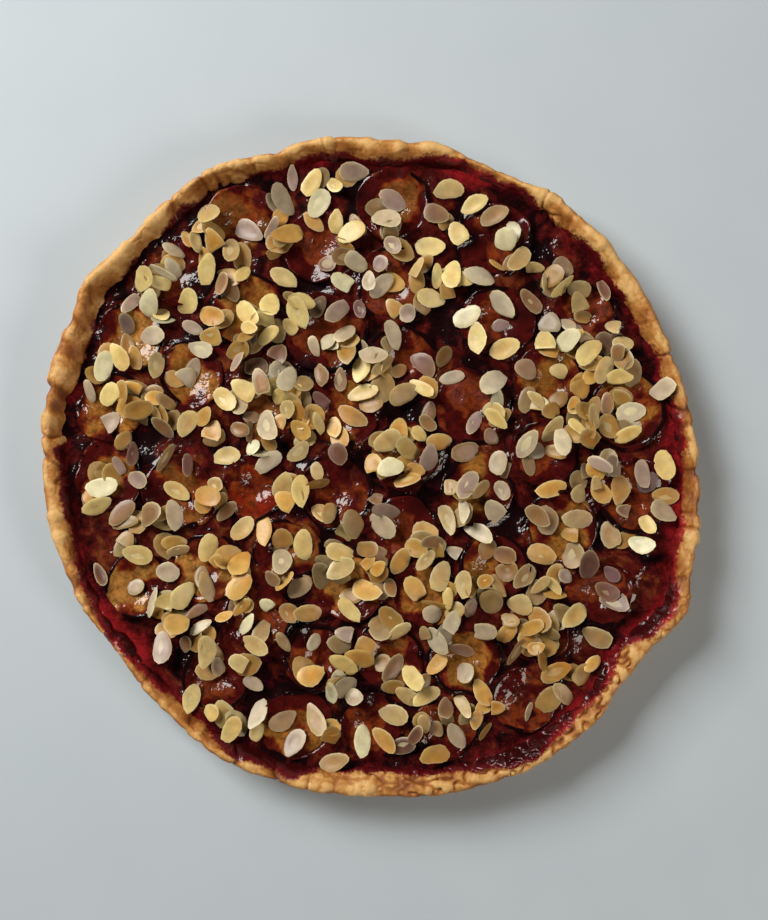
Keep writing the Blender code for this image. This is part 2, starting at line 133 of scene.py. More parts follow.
# The flakes on top that show whole, by tone: x and y in millimetres from the tart's middle, the
# direction of the long axis in degrees, then length and width in millimetres.
PLACED_FLAKES = {
    "ivory": (
        (-24, 120, 60, 14, 9), (61, 104, 135, 11, 9), (-12, 84, 150, 14, 8), (79, 84, 90, 8, 6),
        (-101, 74, 75, 12, 9), (44, 69, 30, 14, 9), (90, 58, 45, 12, 9), (-122, 46, 75, 14, 8),
        (61, 29, 15, 14, 9), (-54, 9, 60, 8, 6), (9, 0, 15, 12, 9), (-123, -9, 15, 14, 9),
        (123, -35, 0, 11, 8), (-47, -64, 135, 9, 7), (-57, -72, 60, 11, 5), (-18, -103, 90, 11, 6),
        (-4, -125, 90, 14, 7),
    ),
    "cream": (
        (-17, 129, 135, 8, 6), (47, 120, 30, 14, 8), (40, 106, 120, 12, 9), (27, 101, 0, 14, 9),
        (-75, 90, 75, 14, 8), (37, 88, 75, 14, 9), (-40, 87, 150, 14, 8), (30, 87, 90, 11, 5),
        (-95, 83, 165, 12, 6), (87, 82, 45, 14, 8), (27, 77, 165, 14, 8), (-84, 76, 75, 12, 9),
        (-46, 74, 90, 11, 9), (-96, 70, 165, 8, 6), (-56, 70, 135, 14, 8), (-33, 70, 120, 14, 9),
        (-47, 60, 45, 12, 6), (48, 59, 90, 14, 8), (99, 52, 45, 14, 9), (-5, 45, 75, 14, 8),
        (86, 44, 150, 8, 7), (-119, 33, 45, 12, 9), (-24, 20, 105, 11, 5), (94, 18, 135, 11, 5),
        (-125, -18, 30, 14, 7), (126, -26, 120, 9, 7), (-86, -59, 60, 14, 9), (-10, -65, 135, 14, 8),
        (19, -96, 135, 12, 9), (-82, -106, 75, 14, 8), (-52, -121, 75, 9, 6),
    ),
    "pale": (
        (-7, 93, 150, 11, 8), (-94, 88, 150, 14, 7), (50, 87, 165, 14, 8), (60, 74, 135, 14, 8),
        (-100, 60, 0, 12, 9), (-78, 54, 165, 11, 8), (-14, 54, 90, 11, 5), (37, 41, 15, 12, 6),
        (-38, 40, 75, 11, 8), (56, 39, 30, 14, 9), (119, 25, 15, 14, 9), (87, 12, 90, 14, 8),
        (-47, 2, 30, 14, 8), (42, -20, 90, 11, 5), (49, -30, 150, 14, 7), (40, -40, 150, 11, 6),
        (-100, -62, 75, 14, 8), (36, -72, 60, 14, 7), (-78, -73, 30, 11, 5), (-26, -80, 60, 9, 6),
        (-52, -113, 60, 14, 7),
    ),
    "straw": (
        (-27, 130, 60, 14, 8), (36, 127, 0, 14, 9), (-16, 112, 90, 12, 7), (-9, 107, 30, 14, 9),
        (74, 91, 0, 11, 5), (-59, 88, 45, 9, 6), (-37, 64, 135, 8, 6), (-55, 63, 165, 8, 6),
        (79, 56, 90, 14, 9), (61, 54, 30, 14, 9), (-115, 50, 120, 14, 8), (113, 41, 0, 12, 7),
        (23, 36, 150, 12, 6), (-57, 35, 150, 14, 9), (-4, 34, 15, 14, 7), (-42, 32, 75, 8, 6),
        (-67, 31, 135, 12, 9), (81, 31, 75, 14, 8), (57, 22, 135, 12, 6), (-84, 20, 60, 14, 8),
        (22, 15, 135, 8, 6), (117, 15, 30, 14, 7), (17, 8, 135, 14, 8), (-66, 5, 15, 14, 8),
        (134, 1, 105, 14, 9), (-89, -11, 150, 14, 7), (-32, -11, 90, 14, 8), (-59, -28, 45, 14, 9),
        (-31, -36, 90, 14, 9), (-75, -37, 75, 14, 9), (-14, -39, 165, 14, 8), (-106, -40, 165, 14, 9),
        (25, -42, 45, 12, 6), (83, -54, 135, 11, 5), (35, -60, 90, 11, 5), (92, -68, 30, 14, 9),
        (-13, -90, 150, 14, 8), (25, -105, 30, 14, 7), (-73, -112, 90, 8, 7), (-64, -120, 60, 14, 8),
    ),
    "dull": (
        (-40, 121, 120, 14, 8), (7, 113, 165, 14, 9), (-90, 99, 150, 11, 5), (-1, 85, 90, 9, 6),
        (5, 83, 45, 14, 8), (90, 65, 165, 8, 6), (-82, 64, 150, 11, 6), (-12, 61, 30, 12, 7),
        (10, 60, 105, 14, 7), (-26, 55, 105, 11, 5), (1, 51, 0, 14, 8), (-86, 40, 45, 14, 9),
        (-129, 35, 105, 11, 5), (132, 35, 45, 14, 8), (-121, 20, 30, 14, 9), (-47, 19, 105, 14, 9),
        (71, 10, 60, 14, 8), (58, 2, 75, 11, 8), (60, -11, 120, 9, 7), (133, -20, 150, 14, 9),
        (57, -21, 135, 14, 9), (-90, -22, 105, 14, 7), (5, -27, 135, 14, 9), (-41, -43, 90, 11, 9),
        (-93, -48, 0, 11, 9), (-108, -55, 30, 8, 7), (28, -67, 0, 9, 8), (50, -75, 0, 14, 8),
        (43, -94, 45, 9, 7), (-54, -99, 150, 11, 6), (-8, -105, 0, 8, 7), (72, -112, 75, 9, 7),
        (39, -123, 120, 14, 7), (-35, -126, 60, 14, 8),
    ),
    "golden": (
        (-38, 106, 15, 14, 9), (-71, 102, 120, 14, 8), (-39, 100, 165, 14, 8), (-68, 63, 90, 14, 8),
        (-107, 36, 150, 11, 5), (94, 34, 60, 14, 9), (-17, 18, 90, 9, 7), (-32, 17, 135, 11, 8),
        (82, -10, 15, 14, 8), (-38, -16, 150, 14, 9), (-49, -29, 90, 14, 8), (78, -40, 165, 14, 9),
        (-71, -43, 45, 8, 6), (-60, -44, 45, 12, 9), (3, -46, 45, 8, 6), (-60, -54, 45, 14, 9),
        (-2, -56, 165, 14, 8), (21, -57, 120, 14, 9), (-67, -68, 15, 9, 8), (-5, -87, 165, 14, 9),
        (30, -90, 45, 12, 7), (101, -90, 45, 9, 6), (-28, -95, 15, 12, 9), (56, -110, 0, 12, 7),
    ),
    "oat": (
        (-74, 115, 15, 11, 9), (-80, 103, 105, 11, 5), (20, 89, 60, 14, 9), (95, 72, 105, 14, 8),
        (111, 64, 165, 8, 6), (119, 52, 90, 12, 6), (-98, 46, 90, 12, 7), (5, 46, 45, 12, 6),
        (106, 44, 60, 14, 8), (75, 31, 135, 11, 5), (-38, 26, 90, 8, 7), (101, 23, 105, 11, 5),
        (83, 17, 60, 14, 7), (7, 12, 30, 14, 9), (-33, 7, 45, 12, 7), (-25, -2, 105, 9, 6),
        (95, -12, 90, 9, 7), (35, -24, 105, 14, 7), (94, -24, 0, 14, 9), (-14, -46, 30, 14, 9),
        (32, -50, 75, 14, 9), (42, -53, 90, 14, 7), (-33, -55, 45, 14, 9), (68, -63, 165, 12, 9),
        (13, -75, 30, 12, 6), (-53, -81, 165, 14, 8), (-75, -84, 90, 14, 8), (-59, -90, 150, 14, 8),
        (17, -105, 150, 14, 7), (42, -109, 120, 11, 6), (10, -113, 165, 14, 9),
    ),
    "mauve": (
        (-8, 135, 0, 14, 8), (-36, 132, 90, 11, 5), (10, 122, 150, 14, 9), (-45, 109, 60, 11, 5),
        (-56, 108, 150, 14, 9), (10, 101, 135, 9, 7), (4, 93, 75, 8, 7), (-110, 75, 45, 11, 6),
        (-15, 71, 45, 14, 8), (16, 70, 0, 9, 8), (59, 65, 15, 8, 6), (-58, 55, 75, 8, 6),
        (-61, 48, 60, 11, 8), (47, 20, 60, 12, 6), (26, 4, 75, 14, 8), (104, 1, 150, 12, 6),
        (-115, 0, 120, 11, 5), (76, -3, 30, 14, 9), (124, -3, 105, 14, 7), (44, -8, 60, 14, 9),
        (7, -20, 165, 14, 7), (89, -50, 135, 8, 6), (-91, -75, 150, 9, 6), (-10, -77, 165, 14, 7),
        (-95, -82, 90, 14, 9),
    ),
    "toasted": (
        (-73, 69, 165, 12, 9), (-108, 50, 105, 12, 6), (96, 27, 45, 11, 5), (-105, 26, 15, 14, 8),
        (-8, 23, 150, 14, 8), (-73, 15, 75, 12, 9), (101, 12, 150, 14, 8), (16, -6, 15, 12, 6),
        (114, -11, 90, 14, 9), (-74, -13, 165, 12, 9), (13, -43, 60, 14, 8), (-3, -45, 45, 11, 5),
        (52, -52, 15, 8, 6), (-59, -64, 45, 11, 5), (-29, -67, 0, 14, 9), (73, -73, 30, 12, 6),
        (75, -82, 15, 8, 6), (84, -94, 30, 14, 9), (48, -115, 75, 9, 6), (-19, -123, 60, 11, 9),
        (6, -125, 135, 14, 8), (29, -131, 0, 14, 9),
    ),
    "nut": (
        (56, 115, 30, 14, 8), (-64, 99, 90, 11, 8), (67, 95, 45, 14, 8), (71, 45, 150, 11, 9),
        (-14, 40, 90, 11, 6), (14, 33, 30, 14, 9), (-99, 25, 120, 11, 5), (-55, 23, 165, 8, 6),
        (-94, 4, 60, 14, 7), (-71, -8, 150, 8, 7), (36, -9, 0, 8, 7), (103, -9, 105, 11, 5),
        (50, -10, 45, 11, 6), (-19, -21, 75, 9, 7), (-8, -26, 105, 14, 9), (110, -32, 105, 14, 9),
        (-113, -35, 60, 14, 8), (-88, -38, 15, 11, 5), (70, -50, 45, 14, 8), (58, -54, 120, 11, 5),
        (77, -54, 45, 11, 5), (-75, -55, 105, 14, 7), (63, -70, 0, 9, 6), (80, -76, 120, 12, 6),
        (25, -78, 105, 11, 5), (103, -78, 150, 14, 9), (-40, -80, 120, 11, 5), (88, -104, 135, 12, 7),
        (-25, -115, 120, 14, 8), (-40, -116, 30, 14, 8), (30, -120, 135, 8, 6), (-17, -135, 15, 14, 8),
    ),
    "brown": (
        (30, 116, 165, 12, 9), (-20, 93, 30, 8, 7), (-68, 84, 75, 11, 6), (73, 76, 135, 14, 7),
        (112, 52, 90, 8, 6), (24, 47, 135, 14, 8), (13, 44, 30, 8, 6), (-23, 42, 105, 11, 6),
        (-50, 38, 105, 14, 8), (108, 29, 90, 11, 6), (26, 20, 135, 9, 6), (-95, 18, 135, 12, 6),
        (-60, 17, 165, 9, 7), (55, 14, 135, 8, 6), (43, 7, 15, 14, 9), (4, -15, 165, 11, 5),
        (-66, -20, 45, 12, 6), (116, -20, 165, 9, 6), (-114, -21, 45, 14, 8), (-101, -22, 45, 12, 9),
        (76, -22, 135, 14, 8), (28, -34, 0, 11, 6), (61, -40, 165, 11, 8), (-45, -51, 135, 9, 6),
        (9, -55, 105, 9, 6), (46, -64, 75, 11, 6), (-80, -66, 30, 11, 5), (-85, -81, 75, 8, 6),
        (42, -84, 165, 12, 6), (66, -84, 60, 14, 9), (-70, -91, 105, 9, 6), (10, -92, 60, 14, 8),
        (34, -110, 90, 9, 7),
    ),
    "wine": (
        (106, 81, 105, 11, 5), (-5, 72, 105, 9, 6), (-43, 51, 60, 11, 9), (-22, 30, 135, 11, 6),
        (-109, 6, 90, 11, 5), (-15, 6, 120, 11, 9), (-84, 1, 90, 11, 5), (99, -45, 90, 14, 9),
        (-124, -49, 120, 11, 5), (110, -49, 135, 9, 6), (108, -57, 150, 11, 8), (20, -122, 60, 11, 5),
    ),
}

# Where the juice that has climbed the case is bright: direction and half width in degrees.
BLUSHES = ((72, 6), (6, 12), (350, 10), (334, 9), (314, 12), (214, 12), (100, 4))


def colour(code):
    """An sRGB hex value as linear red, green and blue, with an alpha of one."""
    channels = [int(code[i : i + 2], 16) / 255 for i in (1, 3, 5)]
    linear = [c / 12.92 if c <= 0.04045 else ((c + 0.055) / 1.055) ** 2.4 for c in channels]
    return (*linear, 1.0)


def swatch(name, description, code):
    """A colour that the user can change."""
    return FloatVectorProperty(
        name=name, description=description, default=colour(code), size=4, subtype="COLOR", min=0, max=1
    )


def length(name, description, millimetres):
    """A length that the user can change."""
    return FloatProperty(name=name, description=description, default=millimetres * MM, unit="LENGTH")


class PastryLook(bpy.types.PropertyGroup):
    """Sizes and colours of the baked pastry."""

    lump_relief: length("Lumps", "Height of the dough's broad lumps", 0.9)
    crumb_relief: length("Crumbs", "Height of the fine crumbs on the rim", 0.22)
    crease_depth: length("Creases", "Depth of the creases where the dough was folded", 1.2)
    # Pale to burnt follow the browning mask, which also holds painted shade in the creases and on the
    # walls, and painted highlight on the raised lumps.
    pale: swatch("Pale dough", "Dough that has hardly browned", "#dcae6c")
    golden: swatch("Golden dough", "Most of the rim", "#bb7f3e")
    brown: swatch("Browned dough", "Creases and the outer wall", "#8c4f1e")
    burnt: swatch("Dark dough", "Dough that the oven caught", "#55290f")
    stained: swatch("Stained dough", "Dough that has soaked up juice", "#66141a")
    blush: swatch("Blushing dough", "Dough under a bright thin film of juice", "#b02a2e")
    sodden: swatch("Sodden dough", "Dough that lies under the juice", "#34090a")


class PlumLook(bpy.types.PropertyGroup):
    """Sizes and colours of the cooked plum halves."""

    wrinkle: length("Wrinkles", "Height of the wrinkles in the cooked flesh", 0.5)
    warp: length("Warp", "How far the outline strays from a round one", 2.0)
    yellow: swatch("Yellow flesh", "Flesh of the ripest halves", "#9a6a32")
    amber: swatch("Amber flesh", "Flesh of most halves that show", "#8c5a24")
    brown: swatch("Brown flesh", "Flesh with juice soaked in", "#78481f")
    rose: swatch("Rose flesh", "Flesh with a thin red stain", "#6c3226")
    red: swatch("Red flesh", "Flesh next to red skin", "#781e0a")
    plum: swatch("Plum flesh", "Flesh under a thick juice", "#5a2514")
    dark: swatch("Dark flesh", "Halves that show their skin", "#3e180c")
    tinge: swatch("Juice tinge", "Flesh that a little juice has reached", "#763010")
    stain: swatch("Juice stain", "Rim of the flesh next to the skin", "#440a08")
    skin: swatch("Skin", "Wrinkled purple skin", "#140103")


class JuiceLook(bpy.types.PropertyGroup):
    """Sizes and colours of the set juice."""

    swell: length("Swells", "Height of the juice's broad swells", 1.1)
    ripple: length("Ripples", "Height of the small wrinkles in its skin", 0.3)
    deep: swatch("Deep juice", "Juice where it lies thick", "#140103")
    wine: swatch("Wine juice", "Juice of a middling depth", "#4a100c")
    thin: swatch("Thin juice", "Juice where it is a thin film", "#7a1418")
    pulp: swatch("Pulp", "Juice with fruit pulp under it", "#6e3818")


class AlmondLook(bpy.types.PropertyGroup):
    """Sizes, number and colours of the almond flakes."""

    covered: IntProperty(
        name="Covered", description="Flakes under and between the others", default=300, min=0, max=600
    )
    length_least: length("Shortest", "Length of the shortest covered flake", 8.0)
    length_most: length("Longest", "Length of the longest covered flake", 14.0)
    thickness: length("Thickness", "Thickness of a flake", 0.9)
    ivory: swatch("Ivory", "Palest flake", "#dad3aa")
    cream: swatch("Cream", "Plain flake", "#e2cb84")
    pale: swatch("Pale", "Flake with a grey cast", "#d0c3a4")
    straw: swatch("Straw", "Flake from the kernel's middle", "#d4ba74")
    dull: swatch("Dull", "Flake that has soaked up some juice", "#bba98b")
    golden: swatch("Golden", "Lightly toasted flake", "#d2a555")
    oat: swatch("Oat", "Flake with a brown cast", "#bba36c")
    mauve: swatch("Mauve", "Thin flake that the juice shows through", "#9f8778")
    toasted: swatch("Toasted", "Toasted flake", "#b58a42")
    nut: swatch("Nut", "Flake that was toasted and lies deep", "#a88c5a")
    brown: swatch("Brown", "Well toasted flake", "#846340")
    wine: swatch("Wine", "Flake stained by juice", "#6a4436")
    burnt: swatch("Burnt", "Toasted side or middle of a flake", "#c07c28")
    # The rim colour is partly the cut edge's own and partly a painted glow of light through the thin
    # edge.
    rim: swatch("Rim", "Cut rim of a flake", "#f0e2ac")
    dipped: swatch("Dipped", "Part of a flake that lies flat on the juice", "#7c5f66")


# Meshes and attributes.


def lumps(points, size, seed, octaves=1):
    """Smooth noise from -1 to 1 at each point, with lumps about one size across."""
    table = np.random.default_rng(seed).uniform(-1, 1, (NOISE_CELLS,) * 3)
    total, reach = np.zeros(len(points)), 0.0
    for octave in range(octaves):
        place = points / size * 2**octave + 11.3 * octave
        cell = np.floor(place).astype(int)
        part = place - cell
        part = part * part * (3 - 2 * part)
        for corner in np.ndindex(2, 2, 2):
            weight = np.prod(np.where(corner, part, 1 - part), axis=1)
            total += weight * table[tuple(((cell + corner) % NOISE_CELLS).T)] / 2**octave
        reach += 1 / 2**octave
    return total / reach


def smooth_step(value, start, end):
    """0 up to start and 1 from end, with a soft change between them."""
    part = np.clip((value - start) / (end - start), 0, 1)
    return part * part * (3 - 2 * part)


def fade(distance, width):
    """1 at no distance or less, and falling by two thirds with each width beyond it."""
    return np.exp(-np.clip(distance, 0, 1) / width)


def read_points(mesh):
    """The places of the vertices, a row for each."""
    flat = np.empty(len(mesh.vertices) * 3)
    mesh.vertices.foreach_get("co", flat)
    return flat.reshape(-1, 3)


def write_points(mesh, points):
    """Moves the vertices to these places."""
    mesh.vertices.foreach_set("co", np.asarray(points, dtype=float).ravel())
    mesh.update()


def read_normals(mesh):
    """The direction that each vertex faces, a row for each."""
    flat = np.empty(len(mesh.vertices) * 3)
    mesh.vertex_normals.foreach_get("vector", flat)
    return flat.reshape(-1, 3)


def set_mask(mesh, name, values):
    """Stores one number for each vertex, for the material to read."""
    layer = mesh.attributes.new(name, "FLOAT", "POINT")
    layer.data.foreach_set("value", np.asarray(values, dtype=float))


def set_paint(mesh, name, colours):
    """Stores one linear colour for each vertex, for the material to read."""
    layer = mesh.attributes.new(name, "FLOAT_COLOR", "POINT")
    layer.data.foreach_set("color", np.asarray(colours, dtype=float).ravel())


def polar(points):
    """Direction in degrees and distance from the middle of each point."""
    direction = np.degrees(np.arctan2(points[:, 1], points[:, 0])) % 360
    return direction, np.hypot(points[:, 0], points[:, 1])


def turn_between(a, b):
    """The angle from b to a in degrees, from -180 to 180."""
    return (a - b + 180) % 360 - 180


def sector(direction, middle, half_width, power):
    """1 in the middle of a sector of directions and 0 outside it. A higher power has a flatter top."""
    return np.exp(-((turn_between(direction, middle) / half_width) ** power))


def facing_out(points, normals, reach):
    """How far each normal points away from the tart's middle, from -1 to 1."""
    return (normals[:, 0] * points[:, 0] + normals[:, 1] * points[:, 1]) / np.maximum(reach, MM)


def ring_reader(points, middle=(0.0, 0.0)):
    """A function that gives a ring's distance from its middle in any direction in degrees."""
    direction, reach = polar(np.asarray(points)[:, :2] - middle)
    order = np.argsort(direction)
    direction, reach = direction[order], reach[order]
    direction = np.concatenate([direction[-1:] - 360, direction, direction[:1] + 360])
    reach = np.concatenate([reach[-1:], reach, reach[:1]])
    return lambda degrees: np.interp(degrees, direction, reach)


def wall_reach():
    """Distance from the middle to the case's inner wall where it meets the juice."""
    points = read_points(frame["nodes"]["pastry_case"].data)
    return ring_reader(points[np.abs(points[:, 2] - WALL_RING_HEIGHT) < SAME])


def pooled_and_shaded(points):
    """How deep the juice stands at each point, from 0 to 1, which also darkens it as painted shade."""
    deep = np.zeros(len(points))
    for x, y in POOLS_AND_SHADE:
        apart = np.hypot(points[:, 0] - x * MM, points[:, 1] - y * MM)
        deep = np.maximum(deep, np.exp(-((apart / POOL_WIDTH) ** 2)))
    return deep


def plum_places():
    """Middle, and a function for the reach in each direction, of each plum half in the solids."""
    places = []
    for name in PLUM_NODES:
        points = np.unique(read_points(frame["nodes"][name].data).round(7), axis=0)
        foot = points[points[:, 2] < points[:, 2].min() + SAME]
        middle = foot[:, :2].mean(0)
        waist = points[np.abs(points[:, 2] - JUICE_LEVEL) < SAME / 10]
        if len(waist) < PLUM_CORNERS // 2:
            raise RuntimeError(f"{name} has lost its outline")
        places.append((middle, ring_reader(waist, middle)))
    return places


def select_only(obj):
    """Makes this the one selected object and the active one."""
    bpy.ops.object.select_all(action="DESELECT")
    obj.select_set(True)
    bpy.context.view_layer.objects.active = obj


def add_piece(mesh):
    """An object with this mesh and its name."""
    obj = bpy.data.objects.new(mesh.name, mesh)
    bpy.context.scene.collection.objects.link(obj)
    return obj


def edit_mesh():
    """Starts editing the active mesh, with all of it selected."""
    bpy.ops.object.mode_set(mode="EDIT")
    bpy.ops.mesh.select_all(action="SELECT")


def close_mesh():
    """Turns the faces of the mesh that is being edited outward, and ends the editing."""
    bpy.ops.mesh.select_all(action="SELECT")
    bpy.ops.mesh.normals_make_consistent(inside=False)
    bpy.ops.object.mode_set(mode="OBJECT")


def select_where(mesh, kind, test):
    """Selects the vertices, edges or faces that pass the test, in the mesh that is being edited."""
    bpy.ops.mesh.select_all(action="DESELECT")
    bpy.ops.object.mode_set(mode="OBJECT")
    parts = {"VERT": mesh.vertices, "EDGE": mesh.edges, "FACE": mesh.polygons}[kind]
    parts.foreach_set("select", [test(part) for part in parts])
    bpy.ops.object.mode_set(mode="EDIT")
    bpy.ops.mesh.select_mode(type=kind)


def finish_piece(obj, nodes, material, sharp=60):
    """Gives a piece its material, shades it smooth, attaches it to the body and hides the nodes
    that it stands for.
    """
    select_only(obj)
    bpy.ops.object.shade_smooth_by_angle(angle=math.radians(sharp))
    obj.data.materials.clear()
    obj.data.materials.append(material)
    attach(obj, BODY)
    if nodes:
        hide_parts(*nodes)


def keep_in_box(obj):
    """Moves points that stand proud of the solids' box back to its faces."""
    low, high = (np.array(corner) for corner in CAD_BOX)
    write_points(obj.data, np.clip(read_points(obj.data), low, high))


# Materials.


def add_node(tree, kind, settings=(), inputs=(), stops=()):
    """Adds a node with its settings, its inputs set to values or linked to sockets, and the stops of
    its colour ramp."""
    node = tree.nodes.new(kind)
    for name, value in dict(settings).items():
        setattr(node, name, value)
    for name, value in dict(inputs).items():
        if isinstance(value, bpy.types.NodeSocket):
            tree.links.new(value, node.inputs[name])
        else:
            node.inputs[name].default_value = value
    for index, (place, shade) in enumerate(stops):
        if index >= 2:
            node.color_ramp.elements.new(1)
        node.color_ramp.elements[index].position = place
        node.color_ramp.elements[index].color = shade
    return node


def new_material(name, inputs):
    """A material whose shader has these constants, and its node tree and shader."""
    material = bpy.data.materials.new(name)
    material.use_nodes = True
    tree = material.node_tree
    shader = tree.nodes["Principled BSDF"]
    for socket, value in inputs.items():
        shader.inputs[socket].default_value = value
    return material, tree, shader


def spots(place, millimetres, detail=2.0, roughness=0.5, distortion=0.0):
    """Inputs of a noise whose spots are this many millimetres across."""
    return {
        "Vector": place,
        "Scale": 1 / (millimetres * MM),
        "Detail": detail,
        "Roughness": roughness,
        "Distortion": distortion,
    }


def span(value, start, end, low=0.0, high=1.0):
    """Inputs of a range that turns start to end into low to high."""
    return {"Value": value, "From Min": start, "From Max": end, "To Min": low, "To Max": high}


TIMES = {"operation": "MULTIPLY"}
TIMES_PLUS = {"operation": "MULTIPLY_ADD"}
SOFT = {"interpolation_type": "SMOOTHSTEP"}
COLOUR_MIX = {"data_type": "RGBA"}
MULTIPLY = {"data_type": "RGBA", "blend_type": "MULTIPLY"}
# The colour sockets of a mix node: its two inputs and its output.
MIX_A, MIX_B, MIX_RESULT = 6, 7, 2
# Cooked fruit and its jelly: a matt body under a wet coat.
WET = {
    "Roughness": 0.55,
    "Specular IOR Level": 0.05,
    "Coat Weight": 0.9,
    "Coat Roughness": 0.1,
    "Coat IOR": 1.42,
}


def pastry_material(look):
    """Shortcrust, rolled and baked: matt and finely grained, browned and with painted shade in its
    creases and on its outer wall, with juice soaked into its inner side, which is wet and dark."""
    material, tree, shader = new_material("baked shortcrust", {"IOR": 1.45, "Specular IOR Level": 0.35})
    toast = add_node(tree, "ShaderNodeAttribute", {"attribute_name": "toast"}).outputs["Fac"]
    soak = add_node(tree, "ShaderNodeAttribute", {"attribute_name": "soak"}).outputs["Fac"]
    glow = add_node(tree, "ShaderNodeAttribute", {"attribute_name": "blush"}).outputs["Fac"]
    place = add_node(tree, "ShaderNodeTexCoord").outputs["Object"]
    # Patches of 9 mm where the oven caught the dough, and freckles of 1.6 mm from its flour and fat.
    patches = add_node(tree, "ShaderNodeTexNoise", (), spots(place, 9, 3)).outputs["Fac"]
    freckles = add_node(tree, "ShaderNodeTexNoise", (), spots(place, 1.6, 3, 0.6)).outputs["Fac"]
    # The browning mask also holds painted shade and highlight from the rim's relief and walls.
    browned = add_node(tree, "ShaderNodeMath", TIMES_PLUS, {0: patches, 1: 0.55, 2: toast}).outputs[0]
    browned = add_node(tree, "ShaderNodeMath", TIMES_PLUS, {0: freckles, 1: 0.3, 2: browned}).outputs[0]
    crust = add_node(
        tree,
        "ShaderNodeValToRGB",
        (),
        {0: browned},
        ((0.25, look.pale), (0.46, look.golden), (0.72, look.brown), (1.0, look.burnt)),
    ).outputs["Color"]
    # The juice's edge in the dough is ragged at 1.6 mm.
    edge = add_node(tree, "ShaderNodeMath", TIMES_PLUS, {0: freckles, 1: 0.5, 2: soak}).outputs[0]
    wet = add_node(tree, "ShaderNodeMapRange", SOFT, span(edge, 0.28, 0.5)).outputs["Result"]
    deep = add_node(tree, "ShaderNodeMapRange", (), span(edge, 0.42, 0.85)).outputs["Result"]
    streaked = add_node(tree, "ShaderNodeMapRange", (), span(patches, 0.4, 0.62)).outputs["Result"]
    glow = add_node(tree, "ShaderNodeMath", TIMES, {0: glow, 1: streaked}).outputs[0]
    red = add_node(
        tree, "ShaderNodeMix", COLOUR_MIX, {0: glow, MIX_A: look.stained, MIX_B: look.blush}
    ).outputs[MIX_RESULT]
    dye = add_node(
        tree, "ShaderNodeMix", COLOUR_MIX, {0: deep, MIX_A: red, MIX_B: look.sodden}
    ).outputs[MIX_RESULT]
    paint = add_node(tree, "ShaderNodeMix", COLOUR_MIX, {0: wet, MIX_A: crust, MIX_B: dye})
    tree.links.new(paint.outputs[MIX_RESULT], shader.inputs["Base Color"])
    sheen = add_node(tree, "ShaderNodeMapRange", (), span(wet, 0, 1, 0.5, 0.16))
    tree.links.new(sheen.outputs["Result"], shader.inputs["Roughness"])
    grain = add_node(tree, "ShaderNodeTexNoise", (), spots(place, 1.1, 4, 0.6)).outputs["Fac"]
    depth = add_node(tree, "ShaderNodeMapRange", (), span(wet, 0, 1, 0.6, 0.2)).outputs["Result"]
    bump = add_node(
        tree, "ShaderNodeBump", (), {"Strength": depth, "Distance": 0.5 * MM, "Height": grain}
    )
    tree.links.new(bump.outputs["Normal"], shader.inputs["Normal"])
    return material


def glints(tree, place, millimetres):
    """Soft wrinkles of this size in a wet skin, deeper in some places than in others: each one that
    faces a light shines."""
    wrinkles = add_node(tree, "ShaderNodeTexNoise", (), spots(place, millimetres, 1.5)).outputs["Fac"]
    places = add_node(tree, "ShaderNodeTexNoise", (), spots(place, 5 * millimetres, 1)).outputs["Fac"]
    depth = add_node(tree, "ShaderNodeMapRange", (), span(places, 0.38, 0.62, 0.2, 1)).outputs["Result"]
    return add_node(
        tree, "ShaderNodeBump", (), {"Strength": depth, "Distance": 0.5 * MM, "Height": wrinkles}
    ).outputs["Normal"]


